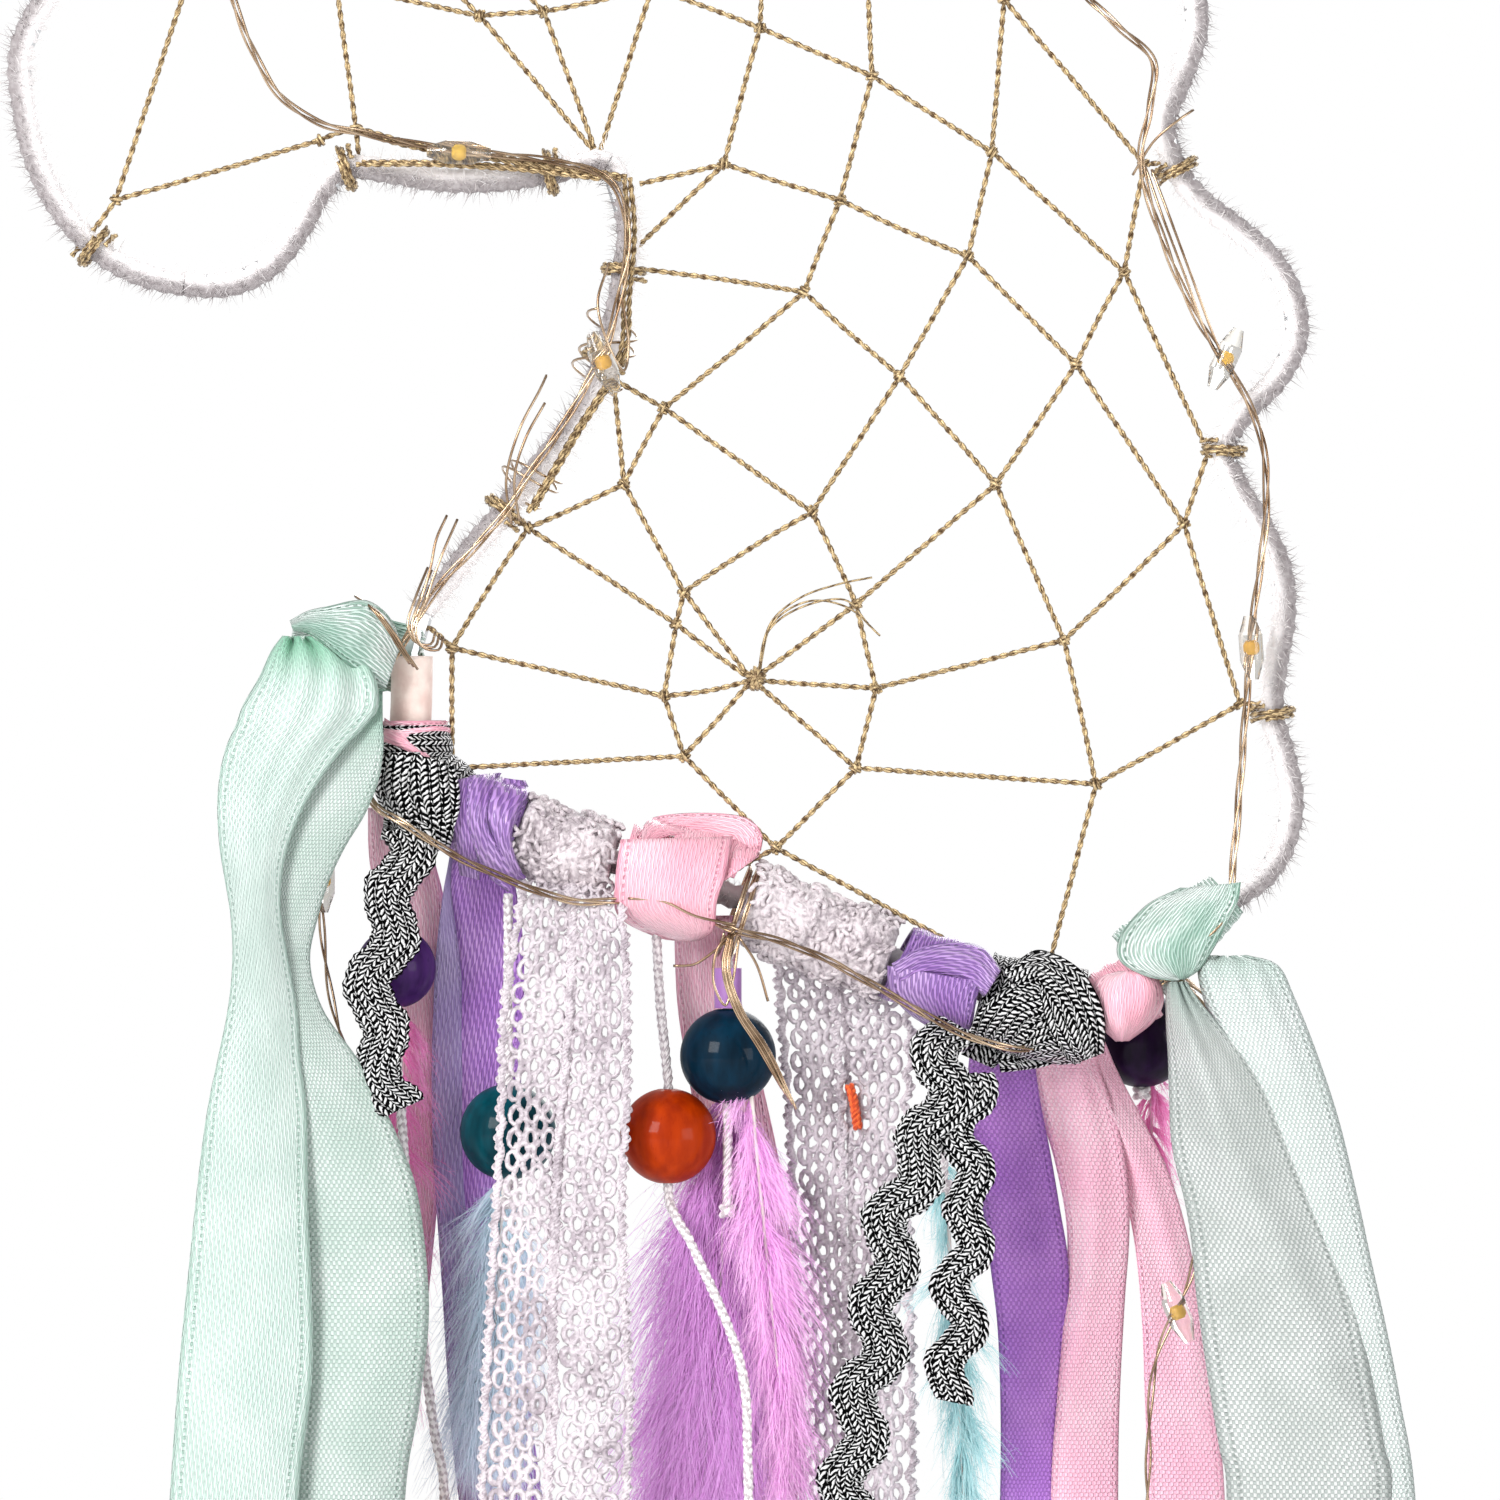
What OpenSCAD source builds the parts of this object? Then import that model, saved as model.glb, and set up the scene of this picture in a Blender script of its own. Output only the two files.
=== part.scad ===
// Unicorn-head dream catcher: a plush-wound wire outline of a unicorn's head with a twine web, a string of
// fairy lights, and ribbons, lace, rick-rack, beads and feathers that hang from the bar at its neck.
// The plan is drawn as [across, up] in millimetres from the centre of the web. Every node is then moved, so
// that the origin is the point where the hanging ribbon rests on its nail. The front faces -Y.

/* [Frame] */
// Diameter of the frame wire
wire_d = 2.5; // [2:0.1:3]
// Diameter over the plush trim, without its pile
plush_d = 6; // [5.2:0.1:6.2]
// Diameter over the knots on the bar
knot_d = 9.4; // [8.6:0.1:9.6]
// Gap between parts that fit over each other
fit_gap = 0.05; // [0.03:0.01:0.1]

/* [Horn] */
// Length of the horn
horn_l = 56; // [45:1:60]
// Diameter of the horn at its base
horn_base_d = 11; // [9:0.5:12]
// Diameter of the horn near its tip
horn_tip_d = 3.2; // [3:0.1:4]
// Lean of the horn from upright
horn_tilt = 40; // [35:1:44]

/* [Hanging] */
// Height of the nail above the centre of the web
hang_v = 205; // [195:1:230]
// Place of the hanging ribbon across the frame
hang_u = 6; // [5:0.5:7]
// Width of the hanging ribbon
hang_ribbon_w = 5; // [4:0.5:6]

/* [Web and lights] */
// Thickness of the gold twine
twine_d = 1; // [0.8:0.1:1.2]
// Thickness of the fairy-light wires, taken together
light_d = 1; // [0.8:0.1:1]
// Diameter of an LED drop
led_d = 3; // [2.6:0.1:3.2]
// Length of an LED drop
led_l = 8; // [7:0.5:9]

/* [Bead strings] */
// Diameter of a large wooden bead
bead_d = 12; // [11:0.5:12]
// Diameter of the plum bead
plum_bead_d = 10; // [9:0.5:10]
// Diameter of the hole through a bead
bead_bore_d = 2.4; // [2:0.1:3]
// Diameter of the white cord
string_d = 1.3; // [1:0.1:1.5]
// Thickness of a feather
feather_t = 4; // [2:0.5:4]

/* [Tails] */
// Lowest point of the mint tails, below the centre of the web
mint_drop = 262; // [220:1:280]
// Lowest point of the lace tails
lace_drop = 240; // [200:1:260]
// Lowest point of the purple tails
purple_drop = 236; // [200:1:260]
// Lowest point of the pink tails
pink_drop = 248; // [200:1:265]
// Lowest point of the long rick-rack tail
rickrack_drop = 176; // [150:1:200]
// Room in depth for a hanging ribbon and its waves
tail_t = 2.2; // [1.5:0.1:2.4]

/* [Battery case] */
// Width of the battery case
case_w = 27; // [26:0.5:28]
// Height of the battery case
case_h = 36; // [34:0.5:38]
// Depth of the battery case without its cover
case_t = 10; // [9.8:0.1:11]
// Wall of the battery case
case_wall = 1.5; // [1.2:0.1:1.6]
// Travel of the switch
switch_travel = 2.5; // [2:0.1:3]

/* [Hidden] */
$fn = 48;

white = [0.96, 0.96, 0.95];
steel = [0.72, 0.73, 0.75];
gold = [0.72, 0.6, 0.35];
copper = [0.72, 0.55, 0.45];
mint = [0.76, 0.92, 0.85];
pink = [0.98, 0.7, 0.8];
purple = [0.6, 0.44, 0.76];
lace = [0.92, 0.9, 0.91];
silver = [0.45, 0.46, 0.48];

// The frame's outline, from the throat clockwise round the head. Each run ends where the next begins.
jaw = [[-18, 64.5], [-25, 63.5], [-32, 62.5], [-39, 62.5], [-45, 63.5], [-50.5, 64], [-54, 61],
    [-56.5, 56.5]];
muzzle = [[-60, 52], [-65, 49.5], [-71, 49.5], [-77, 51], [-82, 54], [-86.5, 59], [-89.5, 65],
    [-91, 71.5], [-91.5, 78], [-89, 84], [-84, 90], [-78, 95.5], [-71, 100.5], [-64, 105.5], [-57.5, 111]];
brow = [[-51.5, 117], [-47.5, 121], [-43.5, 125], [-37.5, 130.5], [-31.5, 135.5]];
ear = [[-26, 139.5], [-25.5, 147.5], [-22.5, 156], [-17.5, 164.5], [-11.5, 164.5], [-9, 157],
    [-7.5, 149.5]];
crest = [[-3.5, 144.5], [0.5, 147], [11.5, 147], [17.5, 145.5], [23, 142], [27, 137], [29, 132.5],
    [35, 133], [40.5, 130.5], [44, 125.5], [44.5, 119.5], [44.5, 114.5], [49.5, 113.5], [53, 109.5],
    [53.5, 104], [51.5, 99], [50, 94.5], [52.5, 90.5]];
mane = [[55, 86.5], [55.5, 81], [53.5, 75], [51.5, 69.5], [53, 64], [56, 60], [60.5, 56.5], [64.5, 53],
    [67.5, 48], [68, 42.5], [65.5, 37.5], [61.5, 33.5], [59, 29], [60.5, 24.5], [63.5, 19.5], [66, 14],
    [66.5, 8], [65.5, 2], [65, -4], [66.5, -9.5], [67.5, -15], [66.5, -20.5], [64, -24.5]];
bar = [[60.5, -27], [59, -28], [53, -33.5], [49.5, -37.5], [43.5, -41], [37, -41], [31, -39.5],
    [25, -37.5], [19, -35.5], [12, -33], [5.5, -30.5], [-1, -27.5], [-2.5, -27], [-9, -25], [-16, -23],
    [-22, -21.5], [-28, -19.5], [-32.5, -18], [-37, -16], [-40.5, -13.5], [-42.5, -9.5]];
neck = [[-42.5, -3.5], [-42.5, 3.5], [-41, 8.5], [-38, 12.5], [-34.5, 17], [-31, 21], [-27.5, 25.5],
    [-23.5, 30.5], [-20.5, 35], [-18.5, 40], [-17, 45.5], [-16, 51], [-15.5, 57]];
outline = concat(jaw, muzzle, brow, ear, crest, mane, bar, neck);
at_muzzle = len(jaw);
at_brow = at_muzzle + len(muzzle);
at_ear = at_brow + len(brow);
at_crest = at_ear + len(ear);
at_mane = at_crest + len(crest);
at_bar = at_mane + len(mane);
at_neck = at_bar + len(bar);
at_end = at_neck + len(neck);

// The twine's courses. Each starts and ends on the frame or on a knot of another course.
web_courses = [
    [[-85, 53], [-79.5, 60], [-65, 104]],
    [[-79.5, 60], [-54, 67.5], [-49.5, 69], [-52, 87], [-54, 113]],
    [[-49.5, 69], [-49, 64]],
    [[-52, 87], [-34, 83], [-26, 83.5], [-12.5, 86.5], [1, 81.5], [15, 75.5], [30, 66], [46.5, 51],
    [57, 28.5]],
    [[-40, 98], [-53, 103], [-34, 83], [-18, 64]],
    [[-40, 98], [-26, 83.5], [-19.5, 66]],
    [[-9, 98], [-12.5, 86.5], [-19, 66]],
    [[-24, 102], [-12.5, 86.5]],
    [[2, 101], [1, 81.5], [-3.5, 64.5], [-15.5, 53]],
    [[14, 96], [15, 75.5], [11, 60], [6.5, 48.5], [-11, 34], [-16, 24.5], [-28, 19], [-31, 21]],
    [[-14, 62], [-3.5, 64.5], [11, 60], [27, 53], [40.5, 39.5], [54, 19.5], [61, -3], [65, -3]],
    [[32, 102], [31.5, 85], [30, 66], [27, 53], [18.5, 38], [7.5, 21], [-8.5, 11], [-9.5, 7], [-11, -2],
        [-8.5, -9.5], [3, -21], [31.5, -36.5]],
    [[31.5, 85], [49, 64.5], [46.5, 51], [40.5, 39.5], [30.5, 24.5], [13, 9.5], [0, 0]],
    [[49, 64.5], [53, 65]],
    [[-15, 51.5], [6.5, 48.5], [18.5, 38], [30.5, 24.5], [39, 5], [43, -13], [37, -36]],
    [[-18, 38], [-11, 34], [7.5, 21], [13, 9.5], [15.5, -1], [13, -11], [3, -21], [-4, -25]],
    [[-17.5, 40], [-16, 24.5], [-8.5, 11], [0, 0]],
    [[-28, 19], [-9.5, 7], [0, 0]],
    [[-28, 19], [-37.5, 4], [-37.5, -11], [-8.5, -9.5], [0, 0]],
    [[-41, 7], [-37.5, 4], [-11, -2], [0, 0]],
    [[54, 19.5], [39, 5], [15.5, -1], [0, 0]],
    [[61, -3], [43, -13], [13, -11], [0, 0]],
    [[60, 27], [57, 28.5], [54, 19.5]],
    [[-35, 133], [-31, 119], [-24, 141], [-16, 123], [-7, 147], [-2, 125], [2, 147], [11, 124], [19, 144],
        [23, 117], [29, 132], [35, 113], [44, 122], [42, 104], [53, 105]],
    [[-51, 118], [-40, 98], [-31, 119], [-24, 102], [-16, 123], [-9, 98], [-2, 125], [2, 101], [11, 124],
        [14, 96], [23, 117], [32, 102], [42, 104], [50, 96]]
];

// Stations of the outline where the twine is hitched round the plush
hitches = [at_muzzle + 4, at_muzzle + 13, 5, 1, at_brow, at_brow + 4, at_ear, at_crest + 4, at_crest + 5,
    at_crest + 9, at_crest + 14, at_mane + 4, at_mane + 12, at_mane + 18, at_neck + 5, at_neck + 9,
    at_neck + 11];

// Route of the light wire: [across, depth, up], from the battery case down the mane, over the bar, up the neck
// and along the jaw to the muzzle
light_route = [[40, 9, 91.9], [40.5, 6, 89], [41, 1.5, 87], [42, -3, 85], [45.5, -5, 81.5], [50, -5, 77],
    [51, -5, 71], [50, -5, 64], [51.5, -5, 57], [55, -5, 49], [60, -5, 38], [63.5, -5, 30], [64, -5, 20],
    [62.5, -5, 8], [61.5, -5, -4], [61, -5, -13], [60.5, -5.2, -21], [60, -5.5, -28.5], [57, -5.5, -33],
    [53, -5.5, -37.5], [49, -5.5, -41], [43.5, -5.5, -44.3], [37, -5.5, -44.5], [31, -5.5, -43.2],
    [25, -5.5, -41.2], [19, -5.5, -39], [12, -5.5, -36.5], [5.5, -5.5, -34], [-2.5, -5.5, -30.5],
    [-9, -5.5, -28.5], [-16, -5.5, -26.5], [-22, -5.5, -25], [-28, -5.5, -23], [-33, -5.5, -21.2],
    [-38, -5.5, -18.8], [-43, -5.5, -17], [-46.5, -5.5, -13.5], [-47, -5.5, -7], [-45, -5.5, -1],
    [-42, -5.5, 5.5], [-38.5, -5.2, 12], [-34, -5, 17], [-30, -5, 21.5], [-27, -5, 26.5],
    [-23, -5, 31.5], [-19.5, -5, 37], [-17.5, -5, 42], [-16.5, -5, 48], [-15.5, -5, 54],
    [-16.5, -5, 60.5], [-20, -5, 65], [-26, -5, 65.5], [-33, -5, 65.5], [-41, -5, 66], [-48, -5, 66.5],
    [-54, -4.8, 67.5], [-60, -4, 69.5], [-64, -3.5, 75], [-66, -3.5, 82], [-66, -3.5, 89],
    [-63.5, -4.2, 97], [-61, -5, 104]];

// Loose ends of the light wire, behind the mint tails
light_end_left = [[-51, -5.7, -6], [-53.5, -4.6, -18], [-53.5, -4.4, -32], [-51, -5.4, -45],
    [-45, -5.7, -58], [-41.5, -5.7, -70], [-41.5, -5.7, -80], [-43.5, -5.7, -92], [-46, -5.7, -104]];
light_end_right = [[55, 0, -39], [56, 0, -50], [56.5, 0, -62], [55, 0, -74], [50.5, 0, -85],
    [49.5, 0, -98], [49.5, 0, -112]];
pigtail_route = [[-2, -9, -33.5], [-3.5, -9, -38], [-2, -9, -42], [0.5, -9, -46], [3.5, -9, -50],
    [5, -9, -52.5]];

// Where each LED drop sits: [across, depth, up, tilt from upright]
leds = [[-36.5, -5, 65.7, 88], [-18.5, -5.7, 39.5, 22], [62.2, -5, 4, 4], [-53.5, -4.5, -25, 0],
    [53.2, 0, -79, 22], [59, -5, 40, -24]];

// Bead strings: each cord's route, [across, depth, up]
plum_route = [[-44, 0, -20.3], [-44.5, 0, -29], [-44.5, 0, -43], [-44, 0, -52], [-42.5, 0, -70],
    [-40, 0, -92], [-38.5, 0, -101], [-38.5, 0, -116.5]];
sea_route = [[-30.5, 0, -26.8], [-30.5, 0, -49], [-30.5, 0, -66]];
orange_route = [[-12, 0, -30.8], [-11.5, 0, -40], [-10.7, 0, -48], [-10.5, 0, -51], [-10.5, 0, -63.5],
    [-9.5, -2, -67], [-7, -4.6, -71.5], [-1.5, -4.6, -85], [-0.5, -4.6, -98], [-0.5, -4.6, -122]];
teal_route = [[-3, 0, -33.3], [-3, 0, -44], [-3, 0, -67]];
aqua_route = [[24, 2, -43.8], [24, 2, -64]];
grape_route = [[49, 9.4, -39.2], [49, 9.4, -52.5]];

// Centres of the beads
plum_at = [-44.5, 0, -36];
amber_at = [-38.5, 0, -108.5];
sea_at = [-30.5, 0, -56.5];
orange_at = [-10.5, 0, -57];
teal_at = [-3, 0, -47];
grape_at = [49, 9.4, -45.2];

horn_rise = 3.5;
front_y = -6.6;
back_y = 6.6;
wire_r = wire_d / 2;
plush_r = plush_d / 2;
knot_r = knot_d / 2;
hitch_r = plush_r + fit_gap + twine_d / 2;

// --- Helpers -------------------------------------------------------------------------------------------------

module place() {
    translate([-hang_u, 0, -hang_v]) children();
}

function unit(v) = v / norm(v);

function stand(p) = [p[0], 0, p[1]];

function heading(path, i) =
    let (n = len(path))
    unit(path[min(i + 1, n - 1)] - path[max(i - 1, 0)]);

function loop_heading(path, i) =
    let (n = len(path))
    unit(path[(i + 1) % n] - path[(i + n - 1) % n]);

// One ring of points round a path, square to its heading. side is a direction never in line with it.
function ring(at, along, r, side, sides) =
    let (a = unit(cross(side, along)), b = cross(along, a))
    [for (k = [0:sides - 1]) at + r * (cos(360 * k / sides) * a + sin(360 * k / sides) * b)];

function flat(rings) = [for (one = rings) for (p = one) p];

// Triangles that join ring i to ring j
function skin(i, j, sides) =
    [for (k = [0:sides - 1])
        let (a = i * sides, b = j * sides, next = (k + 1) % sides)
        each [[a + k, b + k, b + next], [a + k, b + next, a + next]]];

// A round cord along an open path
module tube(path, d, sides = 8, side = [0, 1, 0]) {
    n = len(path);
    points = flat([for (i = [0:n - 1]) ring(path[i], heading(path, i), d / 2, side, sides)]);
    walls = [for (i = [0:n - 2]) for (q = skin(i, i + 1, sides)) q];
    first_cap = [for (k = [0:sides - 1]) k];
    last_cap = [for (k = [sides - 1:-1:0]) (n - 1) * sides + k];
    polyhedron(points, concat(walls, [first_cap], [last_cap]));
}

// A round bar along the whole closed outline
module ring_bar(plan, r, sides = 8) {
    path = [for (p = plan) stand(p)];
    n = len(path);
    points = flat([for (i = [0:n - 1]) ring(path[i], loop_heading(path, i), r, [0, 1, 0], sides)]);
    walls = [for (i = [0:n - 1]) for (q = skin(i, (i + 1) % n, sides)) q];
    polyhedron(points, walls);
}

// A sleeve on the outline between two of its stations, open at both ends for what runs through it
module sleeve(first, last, r_in, r_out, sides = 8) {
    n = len(outline);
    path = [for (p = outline) stand(p)];
    stations = [for (i = [first:last]) i % n];
    m = len(stations);
    outside = [for (i = stations) ring(path[i], loop_heading(path, i), r_out, [0, 1, 0], sides)];
    inside = [for (i = stations) ring(path[i], loop_heading(path, i), r_in, [0, 1, 0], sides)];
    outer = [for (i = [0:m - 2]) for (q = skin(i, i + 1, sides)) q];
    inner = [for (i = [0:m - 2]) for (q = skin(m + i + 1, m + i, sides)) q];
    start = skin(m, 0, sides);
    end = skin(m - 1, 2 * m - 1, sides);
    polyhedron(flat(concat(outside, inside)), concat(outer, inner, start, end));
}

// A flat piece drawn in the plan and given depth from y_front to y_back
module slab(plan, y_front, y_back) {
    translate([0, y_back, 0]) rotate([90, 0, 0]) linear_extrude(y_back - y_front) polygon(plan);
}

module front_tail(plan) {
    slab(plan, front_y - tail_t, front_y);
}

module back_tail(plan) {
    slab(plan, back_y, back_y + tail_t);
}

// A straight strip between two points of the plan
module strip(a, b, w) {
    along = unit(b - a);
    across = [-along[1], along[0]];
    polygon([a - along * w / 2 - across * w / 2, b + along * w / 2 - across * w / 2,
        b + along * w / 2 + across * w / 2, a - along * w / 2 + across * w / 2]);
}

module bead(at, d) {
    translate(at) difference() {
        sphere(d = d);
        cylinder(d = bead_bore_d, h = d + 2, center = true);
    }
}

// A feather: a leaf of the given length and width that hangs from its quill and may lean to one side
module feather(at, l, w, lean = 0) {
    plan = [for (k = [0:12]) let (a = 30 * k, f = (1 - cos(a)) / 2)
        [at[0] + sin(a) * w / 2 + lean * f, at[2] - l * f]];
    slab(plan, at[1] - feather_t / 2, at[1] + feather_t / 2);
}

// --- Frame ---------------------------------------------------------------------------------------------------

module frame_wire() {
    place() color(steel) ring_bar(outline, wire_r);
}

module plush(first, last) {
    place() color(white) sleeve(first, last, wire_r + fit_gap, plush_r);
}

module plush_jaw() {
    plush(0, at_muzzle + 2);
}

module plush_nose() {
    plush(at_muzzle + 2, at_brow);
}

module plush_brow() {
    plush(at_brow, at_ear);
}

module plush_ear() {
    plush(at_ear, at_crest);
}

module plush_crest() {
    plush(at_crest, at_mane);
}

module plush_mane() {
    plush(at_mane, at_bar);
}

module plush_bar() {
    plush(at_bar, at_neck);
}

module plush_neck() {
    plush(at_neck, at_end);
}

module on_horn() {
    translate([-47.5, 0, 121]) rotate([0, -horn_tilt, 0]) translate([0, 0, horn_rise]) children();
}

// A padded spike with a rounded tip, sewn to the brow
module horn() {
    place() color(white) on_horn() rotate_extrude()
        polygon([[0, 0], [horn_base_d / 2, 0], [horn_tip_d / 2, horn_l - 1], [horn_tip_d / 4, horn_l],
        [0, horn_l]]);
}

// Gold cord wound up the horn in a spiral
module horn_cord() {
    steps = 84;
    turns = 7;
    gap = 0.35;
    start_z = 1;
    slope = (horn_base_d - horn_tip_d) / 2 / (horn_l - 1);
    route = [for (k = [0:steps])
        let (f = k / steps, z = start_z + f * (horn_l - 5), a = 360 * turns * f,
            r = (horn_base_d + twine_d) / 2 + gap - slope * z)
        [r * cos(a), r * sin(a), z]];
    place() color(gold) on_horn() tube(route, twine_d, 6, [0, 0, 1]);
}

// --- Web -----------------------------------------------------------------------------------------------------

module web_plan() {
    trim = 0.05;
    offset(delta = trim) difference() {
        for (course = web_courses)
            for (i = [0:len(course) - 2])
                strip(course[i], course[i + 1], twine_d - 2 * trim);
        for (i = [0:len(outline) - 1])
            strip(outline[i], outline[(i + 1) % len(outline)], 2 * (hitch_r + twine_d));
        for (i = [at_bar:at_neck - 1])
            strip(outline[i], outline[i + 1], knot_d + 0.4);
    }
}

module hitch(i) {
    path = [for (p = outline) stand(p)];
    along = loop_heading(path, i);
    translate(path[i]) rotate([0, atan2(along[0], along[2]), 0])
        rotate_extrude() translate([hitch_r, 0]) circle(d = twine_d, $fn = 16);
}

module web_twine() {
    place() color(gold) {
        translate([0, twine_d / 2, 0]) rotate([90, 0, 0]) linear_extrude(twine_d) web_plan();
        for (i = hitches) hitch(i);
    }
}

// --- Lights --------------------------------------------------------------------------------------------------

module light_wire() {
    place() color(copper) tube(light_route, light_d);
}

module light_ends() {
    place() color(copper) {
        tube(light_end_left, light_d * 0.8);
        tube(light_end_right, light_d * 0.8);
    }
}

module light_pigtail() {
    place() color(copper) tube(pigtail_route, light_d * 0.8);
}

module led_drop(at) {
    r = led_d / 2;
    translate([at[0], at[1], at[2]]) rotate([0, -at[3], 0]) translate([0, 0, -led_l / 2]) rotate_extrude()
        polygon([[0, 0], [r * 0.45, 0], [r, led_l * 0.3], [r, led_l * 0.7], [r * 0.45, led_l], [0, led_l]]);
}

module led_drops() {
    place() color([1, 0.95, 0.75]) for (at = leds) led_drop(at);
}

// The battery case hangs behind the upper mane. Its back is open and closed by the sliding cover.
case_at = [40, 4.2, 110];
cell_r = 10;
cell_h = 3.2;
slot_h = 3 + switch_travel;
slot_w = 2.4;
switch_z = -12;

module battery_case() {
    inside = [case_w - 2 * case_wall, case_t, case_h - 2 * case_wall];
    place() color(white) translate(case_at) difference() {
        translate([-case_w / 2, 0, -case_h / 2]) cube([case_w, case_t, case_h]);
        translate([-inside[0] / 2, case_wall, -inside[2] / 2]) cube(inside);
        translate([case_w / 2 - case_wall - 1, case_t / 2 - slot_w / 2, switch_z - slot_h / 2])
            cube([case_wall + 2, slot_w, slot_h]);
        translate([0, case_t / 2, -case_h / 2 - 1]) cylinder(d = light_d + 0.6, h = case_wall + 2);
    }
}

module battery_cover() {
    cover_t = 1.5;
    ribs = 4;
    place() color(white) translate([case_at[0], case_at[1] + case_t + fit_gap, case_at[2]]) {
        translate([-case_w / 2, 0, -case_h / 2]) cube([case_w, cover_t, case_h]);
        for (k = [0:ribs - 1]) translate([-5, cover_t, -case_h / 2 + 4 + 2.5 * k]) cube([10, 0.6, 1]);
    }
}

module coin_cells() {
    place() color(steel) for (k = [0, 1])
        translate([case_at[0], case_at[1] + case_wall + 0.5 + k * (cell_h + 0.05), case_at[2] + 4])
            rotate([-90, 0, 0]) cylinder(r = cell_r, h = cell_h);
}

module battery_contacts() {
    strip_t = 0.3;
    back = case_at[1] + case_wall + 0.6 + 2 * (cell_h + 0.05);
    place() color(gold) {
        translate([case_at[0] - 3, case_at[1] + case_wall + 0.1, case_at[2] - 10]) cube([6, strip_t, 22]);
        translate([case_at[0] - 3, back, case_at[2] - 10]) cube([6, strip_t, 22]);
    }
}

module switch_slider() {
    play = 0.15;
    knob = [case_wall + 1.2, slot_w - 2 * play, 3 - play];
    base = [1, slot_w + 2, 6];
    place() color([0.2, 0.2, 0.22])
        translate([case_at[0] + case_w / 2 - case_wall, case_at[1] + case_t / 2, case_at[2] + switch_z]) {
            translate([0, -knob[1] / 2, -slot_h / 2 + play / 2]) cube(knob);
            translate([-base[0] - 0.1, -base[1] / 2, -slot_h / 2 - 1.5]) cube(base + [0.1, 0, 0]);
        }
}

// --- Hanging ribbon ------------------------------------------------------------------------------------------

// A flat loop with a collar round the crest, in which the frame can tilt
module hanging_ribbon() {
    crest_v = crest[1][1];
    collar_r = plush_r + 2 * fit_gap;
    ribbon_t = 0.8;
    top_r = 5;
    loop_top = hang_v + ribbon_t;
    loop_foot = crest_v + collar_r + 2.2;
    place() color(mint) {
        translate([hang_u - hang_ribbon_w / 2, 0, crest_v]) rotate([0, 90, 0]) difference() {
            cylinder(r = collar_r + ribbon_t, h = hang_ribbon_w);
            translate([0, 0, -1]) cylinder(r = collar_r, h = hang_ribbon_w + 2);
        }
        translate([hang_u - hang_ribbon_w / 2, -2, crest_v + collar_r + 0.6])
            cube([hang_ribbon_w, 4, 2.4]);
        translate([hang_u, hang_ribbon_w / 2, 0]) rotate([90, 0,
        0]) linear_extrude(hang_ribbon_w) difference() {
            hull() {
                translate([0, loop_top - top_r]) circle(r = top_r);
                translate([0, loop_foot + 1]) circle(r = 1.4);
            }
            hull() {
                translate([0, loop_top - top_r]) circle(r = top_r - ribbon_t);
                translate([0, loop_foot + 3.5]) circle(r = 0.6);
            }
        }
    }
}

// --- Knots on the bar ----------------------------------------------------------------------------------------

// A knot covers the bar between two of its stations, counted from the bar's right end
module knot(first, last) {
    sleeve(at_bar + first, at_bar + last, plush_r + fit_gap, knot_r);
}

module knots_mint() {
    bow_r = 5.8;
    neck_first = len(bar) + 1;
    place() color(mint) {
        knot(1, 3);
        knot(neck_first, neck_first + 1);
        translate([-52.6, 0, 3.3]) sphere(r = bow_r);
    }
}

module knots_pink() {
    place() color(pink) {
        knot(3, 4);
        knot(12, 14);
        knot(20, 21);
    }
}

module knots_rickrack() {
    place() color(silver) {
        knot(4, 6);
        knot(18, 20);
    }
}

module knots_purple() {
    place() color(purple) {
        knot(6, 8);
        knot(16, 18);
    }
}

module knots_lace() {
    place() color(lace) {
        knot(8, 11);
        knot(14, 16);
    }
}

// --- Tails ---------------------------------------------------------------------------------------------------

// Two mint ribbons side by side, both in front of everything else
module tail_mint_left() {
    end = -mint_drop;
    place() color(mint) {
        slab([[-60, 1.5], [-52, 2.5], [-50, -4], [-54.5, -28], [-54.5, -60], [-55.5, -85], [-58, -120],
            [-60, end + 8], [-76, end], [-74, -120], [-71, -85], [-68, -55], [-64.5, -35], [-65, -15]],
            front_y - 2 * tail_t - 0.6, front_y - tail_t - 0.3);
        slab([[-58, 2], [-46, 2], [-46, -8], [-48.5, -18], [-52.5, -28], [-54, -38], [-51.5, -46],
        [-47.5, -53],
            [-44, -60], [-41.8, -68], [-41.2, -78], [-43, -92], [-44, -120], [-43, end + 12],
            [-57, end + 6],
            [-57, -120], [-56.5, -100], [-55, -60], [-57, -35]],
            front_y - tail_t, front_y);
    }
}

module tail_rickrack_left() {
    place() color(silver)
        front_tail([[-47, -20], [-40, -20], [-39.5, -28], [-40.5, -40], [-43, -48], [-43.5, -53.5],
        [-46.5, -51],
            [-49, -42], [-51, -37.5], [-49.5, -30]]);
}

module tail_pink_left() {
    end = -pink_drop + 20;
    place() color(pink)
        back_tail([[-50, -20], [-40.5, -20], [-39.8, -60], [-42, -92], [-48, -130], [-47, end],
            [-56, end + 6], [-57, -130], [-52, -92], [-50.5, -60]]);
}

module tail_purple_left() {
    end = -purple_drop;
    place() color(purple)
        back_tail([[-38.8, -25], [-29, -25], [-28, -60], [-29, -90], [-22, -130], [-20, end + 8],
        [-29, end],
            [-31, -130], [-32, -98], [-38.5, -60]]);
}

module tail_lace_left() {
    end = -lace_drop;
    place() color(lace) {
        front_tail([[-28.5, -28], [-23.2, -28], [-24, -60], [-24.5, -100], [-25, end + 6], [-34, end + 10],
            [-34, -100], [-32, -70], [-31, -50]]);
        front_tail([[-22.8, -28], [-16.5, -28], [-17.2, -50], [-17.2, -65], [-17.5, -100], [-17.2, end],
        [-24.4, end + 3],
            [-23.9, -100], [-23.4, -60]]);
    }
}

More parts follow.
